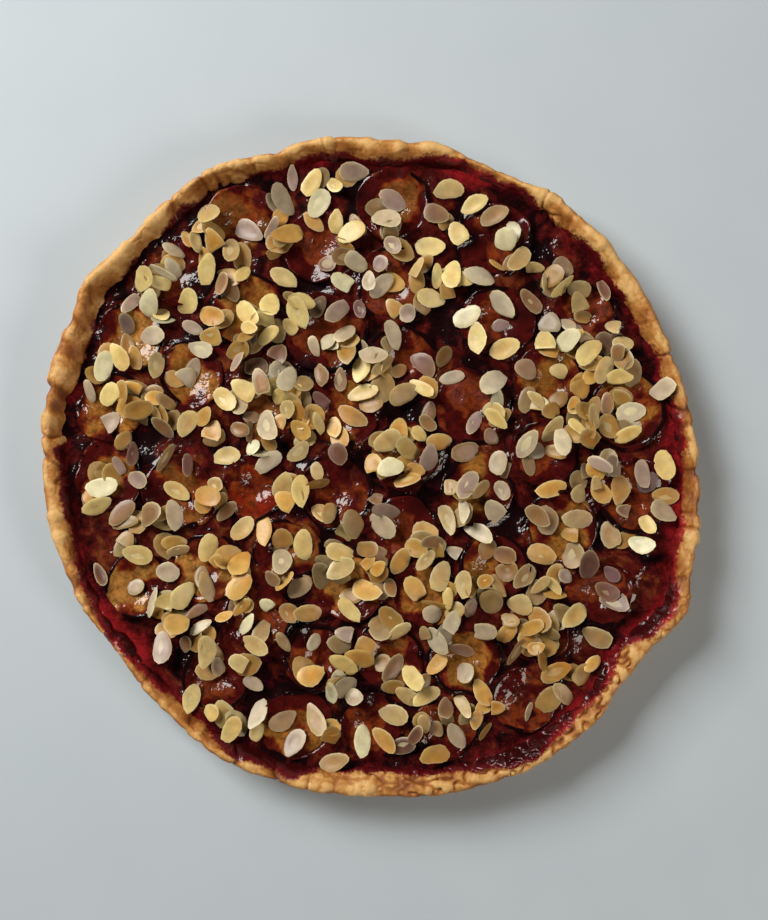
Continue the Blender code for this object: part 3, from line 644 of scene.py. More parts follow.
def plum_material(look):
    """Cooked plum: flesh like dense jelly, amber to red, which darkens to a wrinkled purple skin. A
    syrup coat gives small sharp highlights."""
    material, tree, shader = new_material(
        "cooked plum",
        {
            **WET,
            "IOR": 1.4,
            "Subsurface Weight": 0.12,
            "Subsurface Radius": (1.0, 0.35, 0.12),
            "Subsurface Scale": 1.6 * MM,
        },
    )
    flesh = add_node(tree, "ShaderNodeAttribute", {"attribute_name": "flesh"}).outputs["Color"]
    stain = add_node(tree, "ShaderNodeAttribute", {"attribute_name": "stain"}).outputs["Fac"]
    skin = add_node(tree, "ShaderNodeAttribute", {"attribute_name": "skin"}).outputs["Fac"]
    place = add_node(tree, "ShaderNodeTexCoord").outputs["Object"]
    # Blotches of 7 mm where juice has soaked in, and fibres and bruises of 2.8 mm.
    blotches = add_node(tree, "ShaderNodeTexNoise", (), spots(place, 7, 4, 0.6, 0.8)).outputs["Fac"]
    fibres = add_node(tree, "ShaderNodeTexNoise", (), spots(place, 2.8, 3, 0.6, 0.8)).outputs["Fac"]
    soaked = add_node(tree, "ShaderNodeMath", TIMES_PLUS, {0: blotches, 1: 1.7, 2: stain}).outputs[0]
    tinged = add_node(tree, "ShaderNodeMapRange", SOFT, span(soaked, 0.42, 1.15)).outputs["Result"]
    ripe = add_node(
        tree, "ShaderNodeMix", COLOUR_MIX, {0: tinged, MIX_A: flesh, MIX_B: look.tinge}
    ).outputs[MIX_RESULT]
    red = add_node(tree, "ShaderNodeMapRange", SOFT, span(soaked, 0.85, 1.7)).outputs["Result"]
    dyed = add_node(
        tree, "ShaderNodeMix", COLOUR_MIX, {0: red, MIX_A: ripe, MIX_B: look.stain}
    ).outputs[MIX_RESULT]
    lighter = span(fibres, 0.33, 0.67, 0.5, 1.45)
    shade = add_node(tree, "ShaderNodeMapRange", (), lighter).outputs["Result"]
    mottled = add_node(
        tree, "ShaderNodeMix", MULTIPLY, {0: 1.0, MIX_A: dyed, MIX_B: shade}
    ).outputs[MIX_RESULT]
    worn = add_node(tree, "ShaderNodeMath", TIMES_PLUS, {0: fibres, 1: 0.7, 2: skin}).outputs[0]
    peel = add_node(tree, "ShaderNodeMapRange", SOFT, span(worn, 0.65, 1.1)).outputs["Result"]
    paint = add_node(tree, "ShaderNodeMix", COLOUR_MIX, {0: peel, MIX_A: mottled, MIX_B: look.skin})
    tree.links.new(paint.outputs[MIX_RESULT], shader.inputs["Base Color"])
    tree.links.new(glints(tree, place, 1.9), shader.inputs["Coat Normal"])
    return material


def juice_material(look):
    """Set plum juice: a near-black crimson jelly over fruit pulp, redder where it is a thin film,
    with a wrinkled skin that catches the light in specks."""
    material, tree, shader = new_material("set plum juice", {**WET, "IOR": 1.38})
    film = add_node(tree, "ShaderNodeAttribute", {"attribute_name": "film"}).outputs["Fac"]
    pool = add_node(tree, "ShaderNodeAttribute", {"attribute_name": "pool"}).outputs["Fac"]
    place = add_node(tree, "ShaderNodeTexCoord").outputs["Object"]
    # Clouds of pulp 11 mm across, streaks of 2.4 mm where the jelly is thin, and fibres of 3.5 mm.
    pulp = add_node(tree, "ShaderNodeTexNoise", (), spots(place, 11, 4, 0.6, 0.6)).outputs["Fac"]
    streaks = add_node(tree, "ShaderNodeTexNoise", (), spots(place, 2.4, 3, 0.6, 1.0)).outputs["Fac"]
    # Darker where the juice pools and next to the wall, partly painted shade.
    cloudy = add_node(tree, "ShaderNodeMath", TIMES_PLUS, {0: pool, 1: -0.25, 2: pulp}).outputs[0]
    body = add_node(
        tree,
        "ShaderNodeValToRGB",
        (),
        {0: cloudy},
        ((0.4, look.deep), (0.54, look.wine), (0.7, look.pulp)),
    ).outputs["Color"]
    spread = add_node(tree, "ShaderNodeMath", TIMES_PLUS, {0: streaks, 1: 0.6, 2: film}).outputs[0]
    thin = add_node(tree, "ShaderNodeMapRange", SOFT, span(spread, 0.38, 1.05)).outputs["Result"]
    layered = add_node(
        tree, "ShaderNodeMix", COLOUR_MIX, {0: thin, MIX_A: body, MIX_B: look.thin}
    ).outputs[MIX_RESULT]
    fibres = add_node(tree, "ShaderNodeTexNoise", (), spots(place, 3.5, 3, 0.6, 1.2)).outputs["Fac"]
    lighter = span(fibres, 0.35, 0.65, 0.55, 1.45)
    shade = add_node(tree, "ShaderNodeMapRange", (), lighter).outputs["Result"]
    paint = add_node(tree, "ShaderNodeMix", MULTIPLY, {0: 1.0, MIX_A: layered, MIX_B: shade})
    tree.links.new(paint.outputs[MIX_RESULT], shader.inputs["Base Color"])
    tree.links.new(glints(tree, place, 2.0), shader.inputs["Coat Normal"])
    return material


def almond_material(look):
    """Flaked almond: a dense waxy kernel sliced thin, cream to toasted gold, with a faint grain."""
    material, tree, shader = new_material(
        "toasted flaked almond",
        {
            "Roughness": 0.38,
            "IOR": 1.47,
            "Specular IOR Level": 0.45,
            "Subsurface Weight": 0.15,
            "Subsurface Radius": (1.0, 0.7, 0.4),
            "Subsurface Scale": 1.0 * MM,
        },
    )
    kernel = add_node(tree, "ShaderNodeAttribute", {"attribute_name": "kernel"}).outputs["Color"]
    place = add_node(tree, "ShaderNodeTexCoord").outputs["Object"]
    # Clouding of 4 mm and a grain of 0.6 mm.
    cloud = add_node(tree, "ShaderNodeTexNoise", (), spots(place, 4, 2)).outputs["Fac"]
    grain = add_node(tree, "ShaderNodeTexNoise", (), spots(place, 0.6, 3, 0.6)).outputs["Fac"]
    lighter = span(cloud, 0.3, 0.7, 0.85, 1.12)
    shade = add_node(tree, "ShaderNodeMapRange", (), lighter).outputs["Result"]
    paint = add_node(tree, "ShaderNodeMix", MULTIPLY, {0: 1.0, MIX_A: kernel, MIX_B: shade})
    tree.links.new(paint.outputs[MIX_RESULT], shader.inputs["Base Color"])
    relief = {"Strength": 0.2, "Distance": 0.2 * MM, "Height": grain}
    bump = add_node(tree, "ShaderNodeBump", (), relief)
    tree.links.new(bump.outputs["Normal"], shader.inputs["Normal"])
    return material


# The pastry case.


# Directions in degrees: the rim's roughest side, and where the rim is made darker and lighter.
ROUGH_SIDE, DARKER_SIDE, LIGHTER_SIDE = 302, 222, 95
RIM_REACH = 150 * MM
RIM_FROM = 11 * MM
# The case's edge is measured in sectors of this many degrees.
EDGE_SECTOR = 3


def blush(direction):
    """How bright the juice is that has climbed the case, from 0 to 1, in each direction."""
    glow = np.zeros(len(direction))
    for middle, half_width in BLUSHES:
        glow = np.maximum(glow, sector(direction, middle, half_width, 2))
    return glow


def outer_reach(points):
    """Distance from the middle to the case's outer edge, seen from above."""
    direction, reach = polar(points)
    place = (direction // EDGE_SECTOR).astype(int)
    count = 360 // EDGE_SECTOR
    edge = np.array([reach[place == k].max() for k in range(count)])
    middles = np.arange(-1, count + 1) * EDGE_SECTOR + EDGE_SECTOR / 2
    return lambda degrees: np.interp(degrees, middles, np.r_[edge[-1], edge, edge[0]])


def creases(points, size, width, seed):
    """Sharp valleys about one size apart: 1 along their bottoms and 0 away from them."""
    return np.exp(-((lumps(points, size, seed, 2) / width) ** 2))


def shape_pastry(obj, look):
    """Lumps, crumbs and creases on the case's rim, and the masks for its browning, which also holds
    painted shade and highlight, and for its stains.
    """
    mesh = obj.data
    points, normals = read_points(mesh), read_normals(mesh)
    direction, reach = polar(points)
    height = points[:, 2]
    upper = smooth_step(height, 3 * MM, 12 * MM)
    rough = sector(direction, ROUGH_SIDE, 34, 4)
    # Pleats run across the rim: the pattern is drawn out from the rim's inner to its outer side.
    rim = np.stack([np.cos(np.radians(direction)), np.sin(np.radians(direction)), direction * 0], 1)
    drawn = rim * RIM_REACH + rim * (reach[:, None] - RIM_REACH) * 0.3
    drawn += (0, 0, 1) * height[:, None] * 0.3
    relief = look.lump_relief * (lumps(points, 14 * MM, 1, 2) + 0.8 * lumps(drawn, 7 * MM, 9, 2))
    # Flat facets with ridges between them, as where a fold of dough was pressed down.
    ridges = 1 - np.abs(lumps(points, 9 * MM, 12, 2)) / 0.5
    relief += look.lump_relief * np.clip(ridges, -1, 1) * 0.8
    relief += look.crumb_relief * (1 + 1.8 * rough) * lumps(points, 3 * MM, 2, 3)
    pleated = smooth_step(lumps(points, 40 * MM, 11), -0.5, 0.4)
    # The creases are sharp on the rim and fade down the wall, and its outer side has no small ones.
    crease_depth = look.crease_depth * (0.2 + 0.8 * smooth_step(height, 14 * MM, 20 * MM))
    outward = facing_out(points, normals, reach)
    cracked = (0.25 + 1.2 * rough) * (1 - 0.9 * smooth_step(outward, 0.35, 0.85))
    relief -= crease_depth * (1 - 0.5 * rough) * pleated * creases(drawn, 12 * MM, 0.06, 7)
    relief -= crease_depth * cracked * creases(points, 5 * MM, 0.11, 8)
    relief += 0.3 * MM
    points = points + normals * (relief * upper)[:, None]
    write_points(mesh, points)
    direction, reach = polar(points)
    inward = -facing_out(points, normals, reach)
    from_edge = outer_reach(points)(direction) - reach
    # Juice has soaked in beyond the golden band of the rim.
    band = np.array(GOLDEN_BAND)
    width = np.interp(direction, band[:, 0], band[:, 1], period=360) * MM
    width += 1.5 * MM * lumps(points, 6 * MM, 10, 2) - 0.6 * MM
    inside = np.where((inward > -0.7) & (normals[:, 2] > -0.4), 1.0, 0.0)
    set_mask(mesh, "soak", inside * np.clip((from_edge - width) / (7 * MM), 0, 1))
    set_mask(mesh, "blush", blush(direction))
    # The walls, the creases and one side are made darker: the walls and creases partly browning and
    # partly painted shade, with painted highlight on the raised lumps.
    outer = smooth_step(-inward, 0.3, 0.9) * 0.16
    inner = smooth_step(inward, 0.2, 0.7) * 0.16
    # Painted shade in the hollows of the relief and painted highlight on its raised parts.
    hollow = np.clip(-(relief - 0.5 * MM) / MM, -1.2, 1.2) * 0.26
    # The rim is made a little darker towards one side and lighter towards the other.
    sided = 0.07 * sector(direction, DARKER_SIDE, 45, 4) - 0.07 * sector(direction, LIGHTER_SIDE, 50, 4)
    set_mask(mesh, "toast", outer + inner + hollow + sided + 0.14 * lumps(points, 14 * MM, 6, 2) - 0.07)


def make_pastry(look):
    """The baked case, from the solid's own mesh, rounded and given a finer rim."""
    mesh = frame["nodes"]["pastry_case"].data.copy()
    mesh.name = "pastry_crust"
    obj = add_piece(mesh)
    select_only(obj)
    edit_mesh()
    bpy.ops.mesh.remove_doubles(threshold=SAME)
    fold = math.radians(60)
    bpy.ops.mesh.tris_convert_to_quads(face_threshold=fold, shape_threshold=fold)
    # The underside stays flat and keeps its edge where it meets the wall.
    select_where(mesh, "VERT", lambda vertex: vertex.co.z < 5 * SAME)
    bpy.ops.transform.edge_crease(value=1)
    bpy.ops.object.mode_set(mode="OBJECT")
    rounder = obj.modifiers.new("rounder", "SUBSURF")
    rounder.levels = rounder.render_levels = 2
    bpy.ops.object.modifier_apply(modifier=rounder.name)
    # The rim gets cells of about 0.8 mm, and the hidden floor keeps larger ones.
    bpy.ops.object.mode_set(mode="EDIT")
    select_where(mesh, "FACE", lambda face: face.center.z > RIM_FROM)
    bpy.ops.mesh.subdivide(number_cuts=2, smoothness=1)
    bpy.ops.mesh.select_mode(type="VERT")
    bpy.ops.object.mode_set(mode="OBJECT")
    shape_pastry(obj, look)
    keep_in_box(obj)
    finish_piece(obj, ["pastry_case"], pastry_material(look))


# The plum halves.

# A plum half's section from the middle of its underside to the middle of the stone's hollow: share
# of its reach, share of its lip's height above the juice, and millimetres added to that height.
PLUM_SECTION = (
    (0.30, 0.0, -9.0),
    (0.62, 0.0, -6.5),
    (0.86, 0.0, -3.2),
    (0.97, 0.0, -1.0),
    (1.00, 0.35, 0.0),
    (1.00, 0.75, -0.1),
    (0.985, 1.0, -0.1),
    (0.955, 1.0, 0.0),
    (0.92, 1.0, -0.12),
    (0.87, 1.0, -0.3),
    (0.80, 1.0, -0.45),
    (0.71, 1.0, -0.5),
    (0.61, 1.0, -0.6),
    (0.51, 1.0, -0.9),
    (0.41, 1.0, -1.4),
    (0.30, 1.0, -2.2),
    (0.19, 1.0, -2.8),
    (0.09, 1.0, -3.0),
)
# The shares of the reach where the skin is whole, and where the flesh begins.
SKIN_FROM, FLESH_FROM = 0.955, 0.90
PLUM_SIDES = 56
PLUM_REACH = 15 * MM
# How far the fruit swells past the solid's outline, so that it meets the juice.
PLUM_SWELL = 1.1 * MM


def model_plum_half():
    """One plum half of unit reach: rings extruded from its foot over its lip into its hollow. Each
    vertex's height holds its step along the section, from 0 at the foot to 1 in the hollow."""
    bpy.ops.object.select_all(action="DESELECT")
    rise = 1 / (len(PLUM_SECTION) - 1)
    bpy.ops.mesh.primitive_circle_add(vertices=PLUM_SIDES, radius=PLUM_SECTION[0][0])
    obj = bpy.context.object
    vertices = obj.data.vertices
    edit_mesh()
    for before, after in zip(PLUM_SECTION, PLUM_SECTION[1:]):
        bpy.ops.mesh.extrude_region_move(TRANSFORM_OT_translate={"value": (0, 0, rise)})
        share = after[0] / before[0]
        bpy.ops.transform.resize(value=(share, share, 1), center_override=(0, 0, 0))
    bpy.ops.mesh.edge_face_add()
    bpy.ops.mesh.poke()
    # The foot is closed in the same way.
    select_where(obj.data, "EDGE", lambda edge: max(vertices[k].co.z for k in edge.vertices) < rise / 2)
    bpy.ops.mesh.edge_face_add()
    bpy.ops.mesh.poke()
    bpy.ops.mesh.select_mode(type="VERT")
    close_mesh()
    return obj


def shape_plum(template, index, middle, reach, look):
    """One plum half from the template: its own outline, lip, lean and wrinkles, and its masks."""
    draw = random.Random(700 + index)
    unit = read_points(template)
    direction, share = polar(unit)
    step = unit[:, 2] * (len(PLUM_SECTION) - 1)
    section = np.array(PLUM_SECTION)
    row = np.clip(np.round(step).astype(int), 0, len(section) - 1)
    poles = share < 0.01
    around = np.radians(direction)
    # Each half takes its lumps from another place in the noise.
    ring = np.stack([np.cos(around), np.sin(around), 0 * around], 1) * PLUM_REACH
    place = ring + index * 0.37
    # Its outline is wavy, and its lip rises unevenly and curls inward in places.
    lip = (1.1 + 2.6 * lumps(place, 11 * MM, 21, 2) * smooth_step(share, 0.25, 0.95)) * MM
    curl = 0.10 * smooth_step(share, 0.86, 0.97) * np.clip(lumps(place, 8 * MM, 22, 2), -0.2, 1)
    wave = 1 + 0.05 * lumps(place, 5 * MM, 23, 2)
    out = (reach(direction) + PLUM_SWELL) * (share * wave - curl * (row > 5))
    height = section[row, 1] * lip + section[row, 2] * MM
    height[poles] += np.where(unit[poles, 2] > 0.5, -0.1 * MM, -0.4 * MM)
    flat = np.stack([np.cos(around) * out, np.sin(around) * out, height], 1)
    # The flesh is wrinkled, and the whole outline strays from a round one.
    top = smooth_step(step, 8.5, 10)
    stretched = flat * (1, 1, 0.5) + index * 0.211
    wrinkle = lumps(stretched, 4 * MM, 24, 3)
    wrinkle += 0.6 * smooth_step(share, 0.3, 0.7) * lumps(place * 0.5 + unit * 2 * MM, 1.5 * MM, 25, 2)
    tint = FLESH_TINTS[index]
    furrow = look.wrinkle * FURROWED.get(tint, 1.0)
    flat[:, 2] += furrow * top * wrinkle * np.where(share > 0.05, 1, 0.3)
    stray = flat * (1, 1, 0) + index * 0.173
    strength = look.warp * smooth_step(step, 1, 4)
    flat[:, 0] += strength * lumps(stray, 13 * MM, 29, 2)
    flat[:, 1] += strength * lumps(stray, 13 * MM, 30, 2)
    # What shows above the juice leans a little to one side.
    lean = np.array([draw.gauss(0, 0.05), draw.gauss(0, 0.05)])
    above = smooth_step(height, -1 * MM, 2 * MM)
    flat[:, 2] += above * np.clip(flat[:, :2] @ lean, -1.2 * MM, 1.6 * MM)
    points = flat + (middle[0], middle[1], JUICE_LEVEL)
    name = PLUM_NODES[index]
    mesh = template.copy()
    mesh.name = f"cooked_{name}"
    write_points(mesh, points)
    # Skin shows in stretches along the lip, and juice has stained the flesh from its torn edge.
    bared = smooth_step(lumps(place, 12 * MM, 27), -0.05, 0.3)
    skin = smooth_step(share + 0.05 * bared, FLESH_FROM, SKIN_FROM) * (0.1 + 0.8 * bared)
    torn = lumps(points, 8 * MM, 26, 3)
    edge = smooth_step(share + 0.9 * torn, 0.45, 0.95) * (0.8 + 0.3 * (1 - bared))
    pit = 0.2 * (1 - smooth_step(share, 0.1, 0.45))
    # Halves in the pools are darker and show more skin: deep juice, partly painted shade.
    pool = pooled_and_shaded(points)
    stain = edge + pit + STAINED.get(tint, 0.0) + 0.9 * torn + 0.8 * pool
    set_mask(mesh, "stain", stain)
    set_mask(mesh, "skin", skin + SHOWN_SKIN.get(tint, 0.0) + 0.55 * pool)
    shade = 1 + 0.18 * lumps(points, 9 * MM, 28)
    paint = np.array(getattr(look, tint))[None, :] * np.stack([shade] * 3 + [np.ones_like(shade)], 1)
    set_paint(mesh, "flesh", paint)
    return add_piece(mesh)


def make_plums(look):
    """Each plum half over its own solid, from one template."""
    template = model_plum_half()
    material = plum_material(look)
    for index, (middle, reach) in enumerate(plum_places()):
        obj = shape_plum(template.data, index, middle, reach, look)
        finish_piece(obj, [PLUM_NODES[index]], material)
    bpy.data.objects.remove(template)


# The juice.

JUICE_CELLS = 216
# How far its edge runs into the case, and the height of its underside, which is drawn in.
JUICE_TUCK = 1.4 * MM
JUICE_BOTTOM = 4.3 * MM
BOTTOM_SHARE = 0.94


def disc_from_square(points):
    """Maps a square from -1 to 1 to a disc of radius 1, with even cells."""
    a, b = points[:, 0], points[:, 1]
    wide = np.abs(a) > np.abs(b)
    big = np.where(wide, a, b)
    small = np.where(wide, b, a)
    ratio = np.divide(small, big, out=np.zeros_like(small), where=np.abs(big) > 1e-9)
    angle = np.where(wide, math.pi / 4 * ratio, math.pi / 2 - math.pi / 4 * ratio)
    return np.stack([big * np.cos(angle), big * np.sin(angle)], 1)


def outside_plums(points, places):
    """Distance from each point to the nearest plum half's outline, negative inside it."""
    nearest = np.full(len(points), 1.0)
    for middle, reach in places:
        direction, apart = polar(points[:, :2] - middle)
        nearest = np.minimum(nearest, apart - reach(direction))
    return nearest


def make_juice(look):
    """The juice: a wrinkled skin from wall to wall that dips under the fruit, with a closed body."""
    bpy.ops.object.select_all(action="DESELECT")
    bpy.ops.mesh.primitive_grid_add(x_subdivisions=JUICE_CELLS, y_subdivisions=JUICE_CELLS, size=2)
    obj = bpy.context.object
    obj.name = obj.data.name = "set_juice"
    disc = disc_from_square(read_points(obj.data))
    direction = polar(disc)[0]
    wall = wall_reach()(direction)
    flat = disc * (wall + JUICE_TUCK)[:, None]
    points = np.concatenate([flat, np.zeros((len(flat), 1))], 1)
    from_wall = wall - np.hypot(flat[:, 0], flat[:, 1])
    from_plum = outside_plums(points, plum_places())
    # The skin swells, climbs beside the fruit and at the wall, and dips under the fruit and in pools.
    height = look.swell * lumps(points, 10 * MM, 31, 2) + look.ripple * lumps(points, 3.2 * MM, 32, 2)
    climb = np.clip(0.6 + 2.4 * lumps(points, 14 * MM, 35, 2), -1.0, 1.8) * MM
    height += climb * fade(from_plum, 2.5 * MM)
    flood = 1.2 * MM * lumps(points, 6 * MM, 34, 2)
    height -= 4.5 * MM * smooth_step(-from_plum + flood, 0.5 * MM, 3.2 * MM)
    height += 1.4 * MM * fade(from_wall, 2.2 * MM) - 0.4 * MM
    height -= 1.8 * MM * pooled_and_shaded(points)
    points[:, 2] = JUICE_LEVEL + height
    write_points(obj.data, points)
    near_wall = fade(from_wall, 5 * MM)
    film = (0.3 + 0.6 * blush(direction)) * near_wall + 0.4 * lumps(points, 9 * MM, 33, 3)
    # The juice is darker where it pools and next to the wall, partly painted shade.
    set_mask(obj.data, "pool", np.maximum(pooled_and_shaded(points), 0.7 * near_wall))
    set_mask(obj.data, "film", film)
    select_only(obj)
    edit_mesh()
    bpy.ops.mesh.region_to_loop()
    bpy.ops.mesh.extrude_region_move(TRANSFORM_OT_translate={"value": (0, 0, -JUICE_LEVEL)})
    flatten = (BOTTOM_SHARE, BOTTOM_SHARE, 0)
    bpy.ops.transform.resize(value=flatten, center_override=(0, 0, JUICE_BOTTOM))
    bpy.ops.mesh.edge_face_add()
    close_mesh()
    keep_in_box(obj)
    finish_piece(obj, ["plum_juice"], juice_material(look))


# The flaked almonds.

FLAKE_SIDES = 14
# The share of flakes that stand steeply, and of those that were broken across.
STEEP_SHARE, BROKEN_SHARE = 0.05, 0.14
# How high the top of a flake may be.
CEILING = 27.4 * MM
# The grid of heights that the flakes are laid on, which is read from above.
GRID_STEP = 0.6 * MM
GRID_REACH = 152 * MM
GRID_FROM = 60 * MM
# A covered flake lies this far from a placed one, and clear of the wall. A placed flake draws as many
# of them as it has neighbours this near.
COVERED_APART = (3.5, 10)
WALL_GAP = 6 * MM
CROWD_REACH = 9 * MM
# How deep a flake sinks into bare juice or fruit and into other flakes, and the steepest that it lies.
SINK_IN_JUICE, SINK_IN_FLAKES = 0.45 * MM, 0.1 * MM
STEEPEST = 0.75
# How much of a flake of each tone may be toasted, and how much the juice may show through it.
TOASTING = {
    "ivory": 0.1, "cream": 0.35, "pale": 0.15, "straw": 0.5, "dull": 0.15, "golden": 0.8,
    "oat": 0.35, "mauve": 0.05, "toasted": 0.8, "nut": 0.4, "brown": 0.4, "wine": 0.1,
}
DIPPING = {
    "ivory": 0.3, "cream": 0.3, "pale": 0.6, "straw": 0.45, "dull": 0.7, "golden": 0.3,
    "oat": 0.6, "mauve": 0.8, "toasted": 0.3, "nut": 0.6, "brown": 0.7, "wine": 0.8,
}


def model_flake():
    """One flake of unit length and width: a round plate with a rounded upper edge and a middle
    point on its top, so that it can bend."""
    bpy.ops.object.select_all(action="DESELECT")
    bpy.ops.mesh.primitive_circle_add(vertices=FLAKE_SIDES, radius=0.5, fill_type="NGON")
    obj = bpy.context.object
    edit_mesh()
    bpy.ops.mesh.extrude_region_move(TRANSFORM_OT_translate={"value": (0, 0, 0.7)})
    bpy.ops.mesh.inset(thickness=0.07, depth=0.3)
    bpy.ops.mesh.inset(thickness=0.17, depth=-0.1)
    bpy.ops.mesh.poke(offset=-0.15)
    close_mesh()
    return obj


def surface_heights(objects):
    """A grid seen from above: its axis, the height of the highest surface over each of its points,
    and where that is still bare of flakes."""
    points, faces = [], []
    for obj in objects:
        start = sum(len(part) for part in points)
        points.append(read_points(obj.data))
        faces += [[start + k for k in face.vertices] for face in obj.data.polygons]
    tree = BVHTree.FromPolygons(np.concatenate(points).tolist(), faces)
    axis = np.arange(-GRID_REACH, GRID_REACH, GRID_STEP)
    height = np.zeros((len(axis), len(axis)))
    down = Vector((0, 0, -1))
    for row, y in enumerate(axis):
        for column, x in enumerate(axis):
            hit = tree.ray_cast(Vector((x, y, GRID_FROM)), down)[0]
            if hit:
                height[row, column] = hit.z
    return axis, height, np.ones(height.shape, bool)


def planned_flakes(draw, look):
    """The flakes in the order they are strewn, each as x, y, heading, length, width, tone and how
    light it is painted, darker for the covered ones as painted shade under the flakes over them:
    those that end up covered lie close to the placed ones, which come last."""
    placed = []
    for tone, rows in PLACED_FLAKES.items():
        for x, y, heading, long, wide in rows:
            light = draw.uniform(0.96, 1.08)
            placed.append((x * MM, y * MM, math.radians(heading), long * MM, wide * MM, tone, light))
    wall = wall_reach()
    middles = np.array([flake[:2] for flake in placed])
    between = np.hypot(*(middles[:, None] - middles[None]).transpose(2, 0, 1))
    crowd = (between < CROWD_REACH).sum(1).tolist()
    covered = []
    while len(covered) < look.covered:
        x, y, _, _, _, tone, _ = draw.choices(placed, crowd)[0]
        angle, apart = draw.uniform(0, 2 * math.pi), draw.uniform(*COVERED_APART) * MM
        x, y = x + apart * math.cos(angle), y + apart * math.sin(angle)
        room = wall(math.degrees(math.atan2(y, x)) % 360) - WALL_GAP - math.hypot(x, y)
        if room > 0 and pooled_and_shaded(np.array([(x, y)]))[0] < 0.4:
            long = draw.triangular(look.length_least, look.length_most)
            wide = long * draw.uniform(0.55, 0.85)
            tone = draw.choice((tone, tone, "golden", "golden", "toasted", "nut"))
            # A covered flake is painted darker, as shade under the flakes over it.
            covered.append((x, y, draw.uniform(0, math.pi), long, wide, tone, draw.uniform(0.55, 0.95)))
    draw.shuffle(placed)
    return covered + placed


def bend(own, size, curl):
    """How far a flake curls up at each of its points."""
    return curl[0] * (2 * own[:, 0] / size[0]) ** 2 + curl[1] * (2 * own[:, 1] / size[1]) ** 2


def lay_flake(draw, spot, look, grid):
    """Settles one flake on what is under it. Gives its size, place and tone, or nothing where it
    would stand too high."""
    axis, height, bare = grid
    x, y, heading, long, wide, tone, light = spot
    steep = draw.random() < STEEP_SHARE
    if steep:
        wide *= 0.5
    first = np.searchsorted(axis, (x - long / 2, y - long / 2))
    last = np.searchsorted(axis, (x + long / 2, y + long / 2))
    columns, rows = np.meshgrid(np.arange(first[0], last[0]), np.arange(first[1], last[1]))
    columns, rows = columns.ravel(), rows.ravel()
    cells = np.stack([axis[columns] - x, axis[rows] - y], 1)
    c, s = math.cos(heading), math.sin(heading)
    own = cells @ np.array([[c, -s], [s, c]])
    # The cells under the flake, apart from those under its very edge.
    under = (own[:, 0] / long) ** 2 + (own[:, 1] / wide) ** 2 < 0.235
    cells, own, rows, columns = cells[under], own[under], rows[under], columns[under]
    base = height[rows, columns]
    open_share = float(bare[rows, columns].mean())
    table = np.c_[np.ones(len(cells)), cells]
    slopes = np.linalg.lstsq(table, base, rcond=None)[0][1:]
    unsteady = draw.choice((0.08, 0.2, 0.4))
    slopes = slopes * 1.15 + [draw.gauss(0, unsteady), draw.gauss(0, unsteady)]
    slopes = np.clip(slopes, -STEEPEST, STEEPEST)
    if steep:
        slopes = np.array([-s, c]) * draw.choice((-1, 1)) * draw.uniform(1.0, 1.5)
    # A few points may press into it, and on bare juice or fruit it sinks in a little.
    gap = base - cells @ slopes
    sink = SINK_IN_JUICE if open_share > 0.6 else SINK_IN_FLAKES
    level = float(np.quantile(gap, 0.93)) - sink
    bottom = level + cells @ slopes
    if bottom.max() + look.thickness > CEILING:
        return None
    # How closely the flake's rim lies on bare juice or fruit, in eight directions.
    around = np.degrees(np.arctan2(own[:, 1] / wide, own[:, 0] / long)) % 360
    lying = bare[rows, columns] * fade(bottom - base, 0.7 * MM)
    touch = [lying[np.abs(turn_between(around, 45 * k)) < 30].mean() for k in range(8)]
    curl = (draw.uniform(-0.9, 1.2) * MM, draw.uniform(-0.5, 0.9) * MM)
    lift = max(0.0, -curl[0]) * 0.6 + max(0.0, -curl[1]) * 0.6
    top = bottom + bend(own, (long, wide), curl) + lift + look.thickness
    height[rows, columns] = np.maximum(base, top)
    bare[rows, columns] = False
    return {
        "place": (x, y, level + lift),
        "size": (long, wide),
        "heading": heading,
        "slopes": slopes,
        "curl": curl,
        "tone": tone,
        "light": light,
        "touch": np.nan_to_num(touch),
    }


def flake_points(unit, flake, draw, look):
    """A flake's vertices, from the template's: almond outline, bend, slopes and place."""
    long, wide = flake["size"]
    angle = np.arctan2(unit[:, 1], unit[:, 0])
    share = np.hypot(unit[:, 0], unit[:, 1]) / 0.5
    taper, tip, bow = draw.uniform(-0.22, 0.22), draw.uniform(-0.05, 0.1), draw.gauss(0, 0.09)
    turns = np.linspace(-math.pi, math.pi, 9)
    uneven = np.interp(angle, turns, [draw.gauss(1, 0.07) for _ in turns])
    uneven[share < 0.1] = 1
    along = np.cos(angle) * (1 + tip * np.clip(np.cos(angle), 0, 1) ** 5)
    across = np.sin(angle) * (1 - taper * np.cos(angle)) + bow * (np.cos(angle) ** 2 - 0.5)
    if draw.random() < BROKEN_SHARE:
        along = np.maximum(along, -draw.uniform(0.1, 0.7))
    own = np.stack([long / 2 * along, wide / 2 * across], 1) * (share * uneven)[:, None]
    c, s = math.cos(flake["heading"]), math.sin(flake["heading"])
    flat = own @ np.array([[c, s], [-s, c]])
    thickness = look.thickness * draw.uniform(0.8, 1.2)
    x, y, level = flake["place"]
    curled = bend(own, flake["size"], flake["curl"])
    height = level + flat @ flake["slopes"] + curled + unit[:, 2] * thickness
    return np.stack([flat[:, 0] + x, flat[:, 1] + y, height], 1), own / (long / 2, wide / 2), share


def mixed(paint, other, share):
    """paint with a share of another colour, vertex by vertex."""
    return paint * (1 - share[:, None]) + np.array(other) * share[:, None]


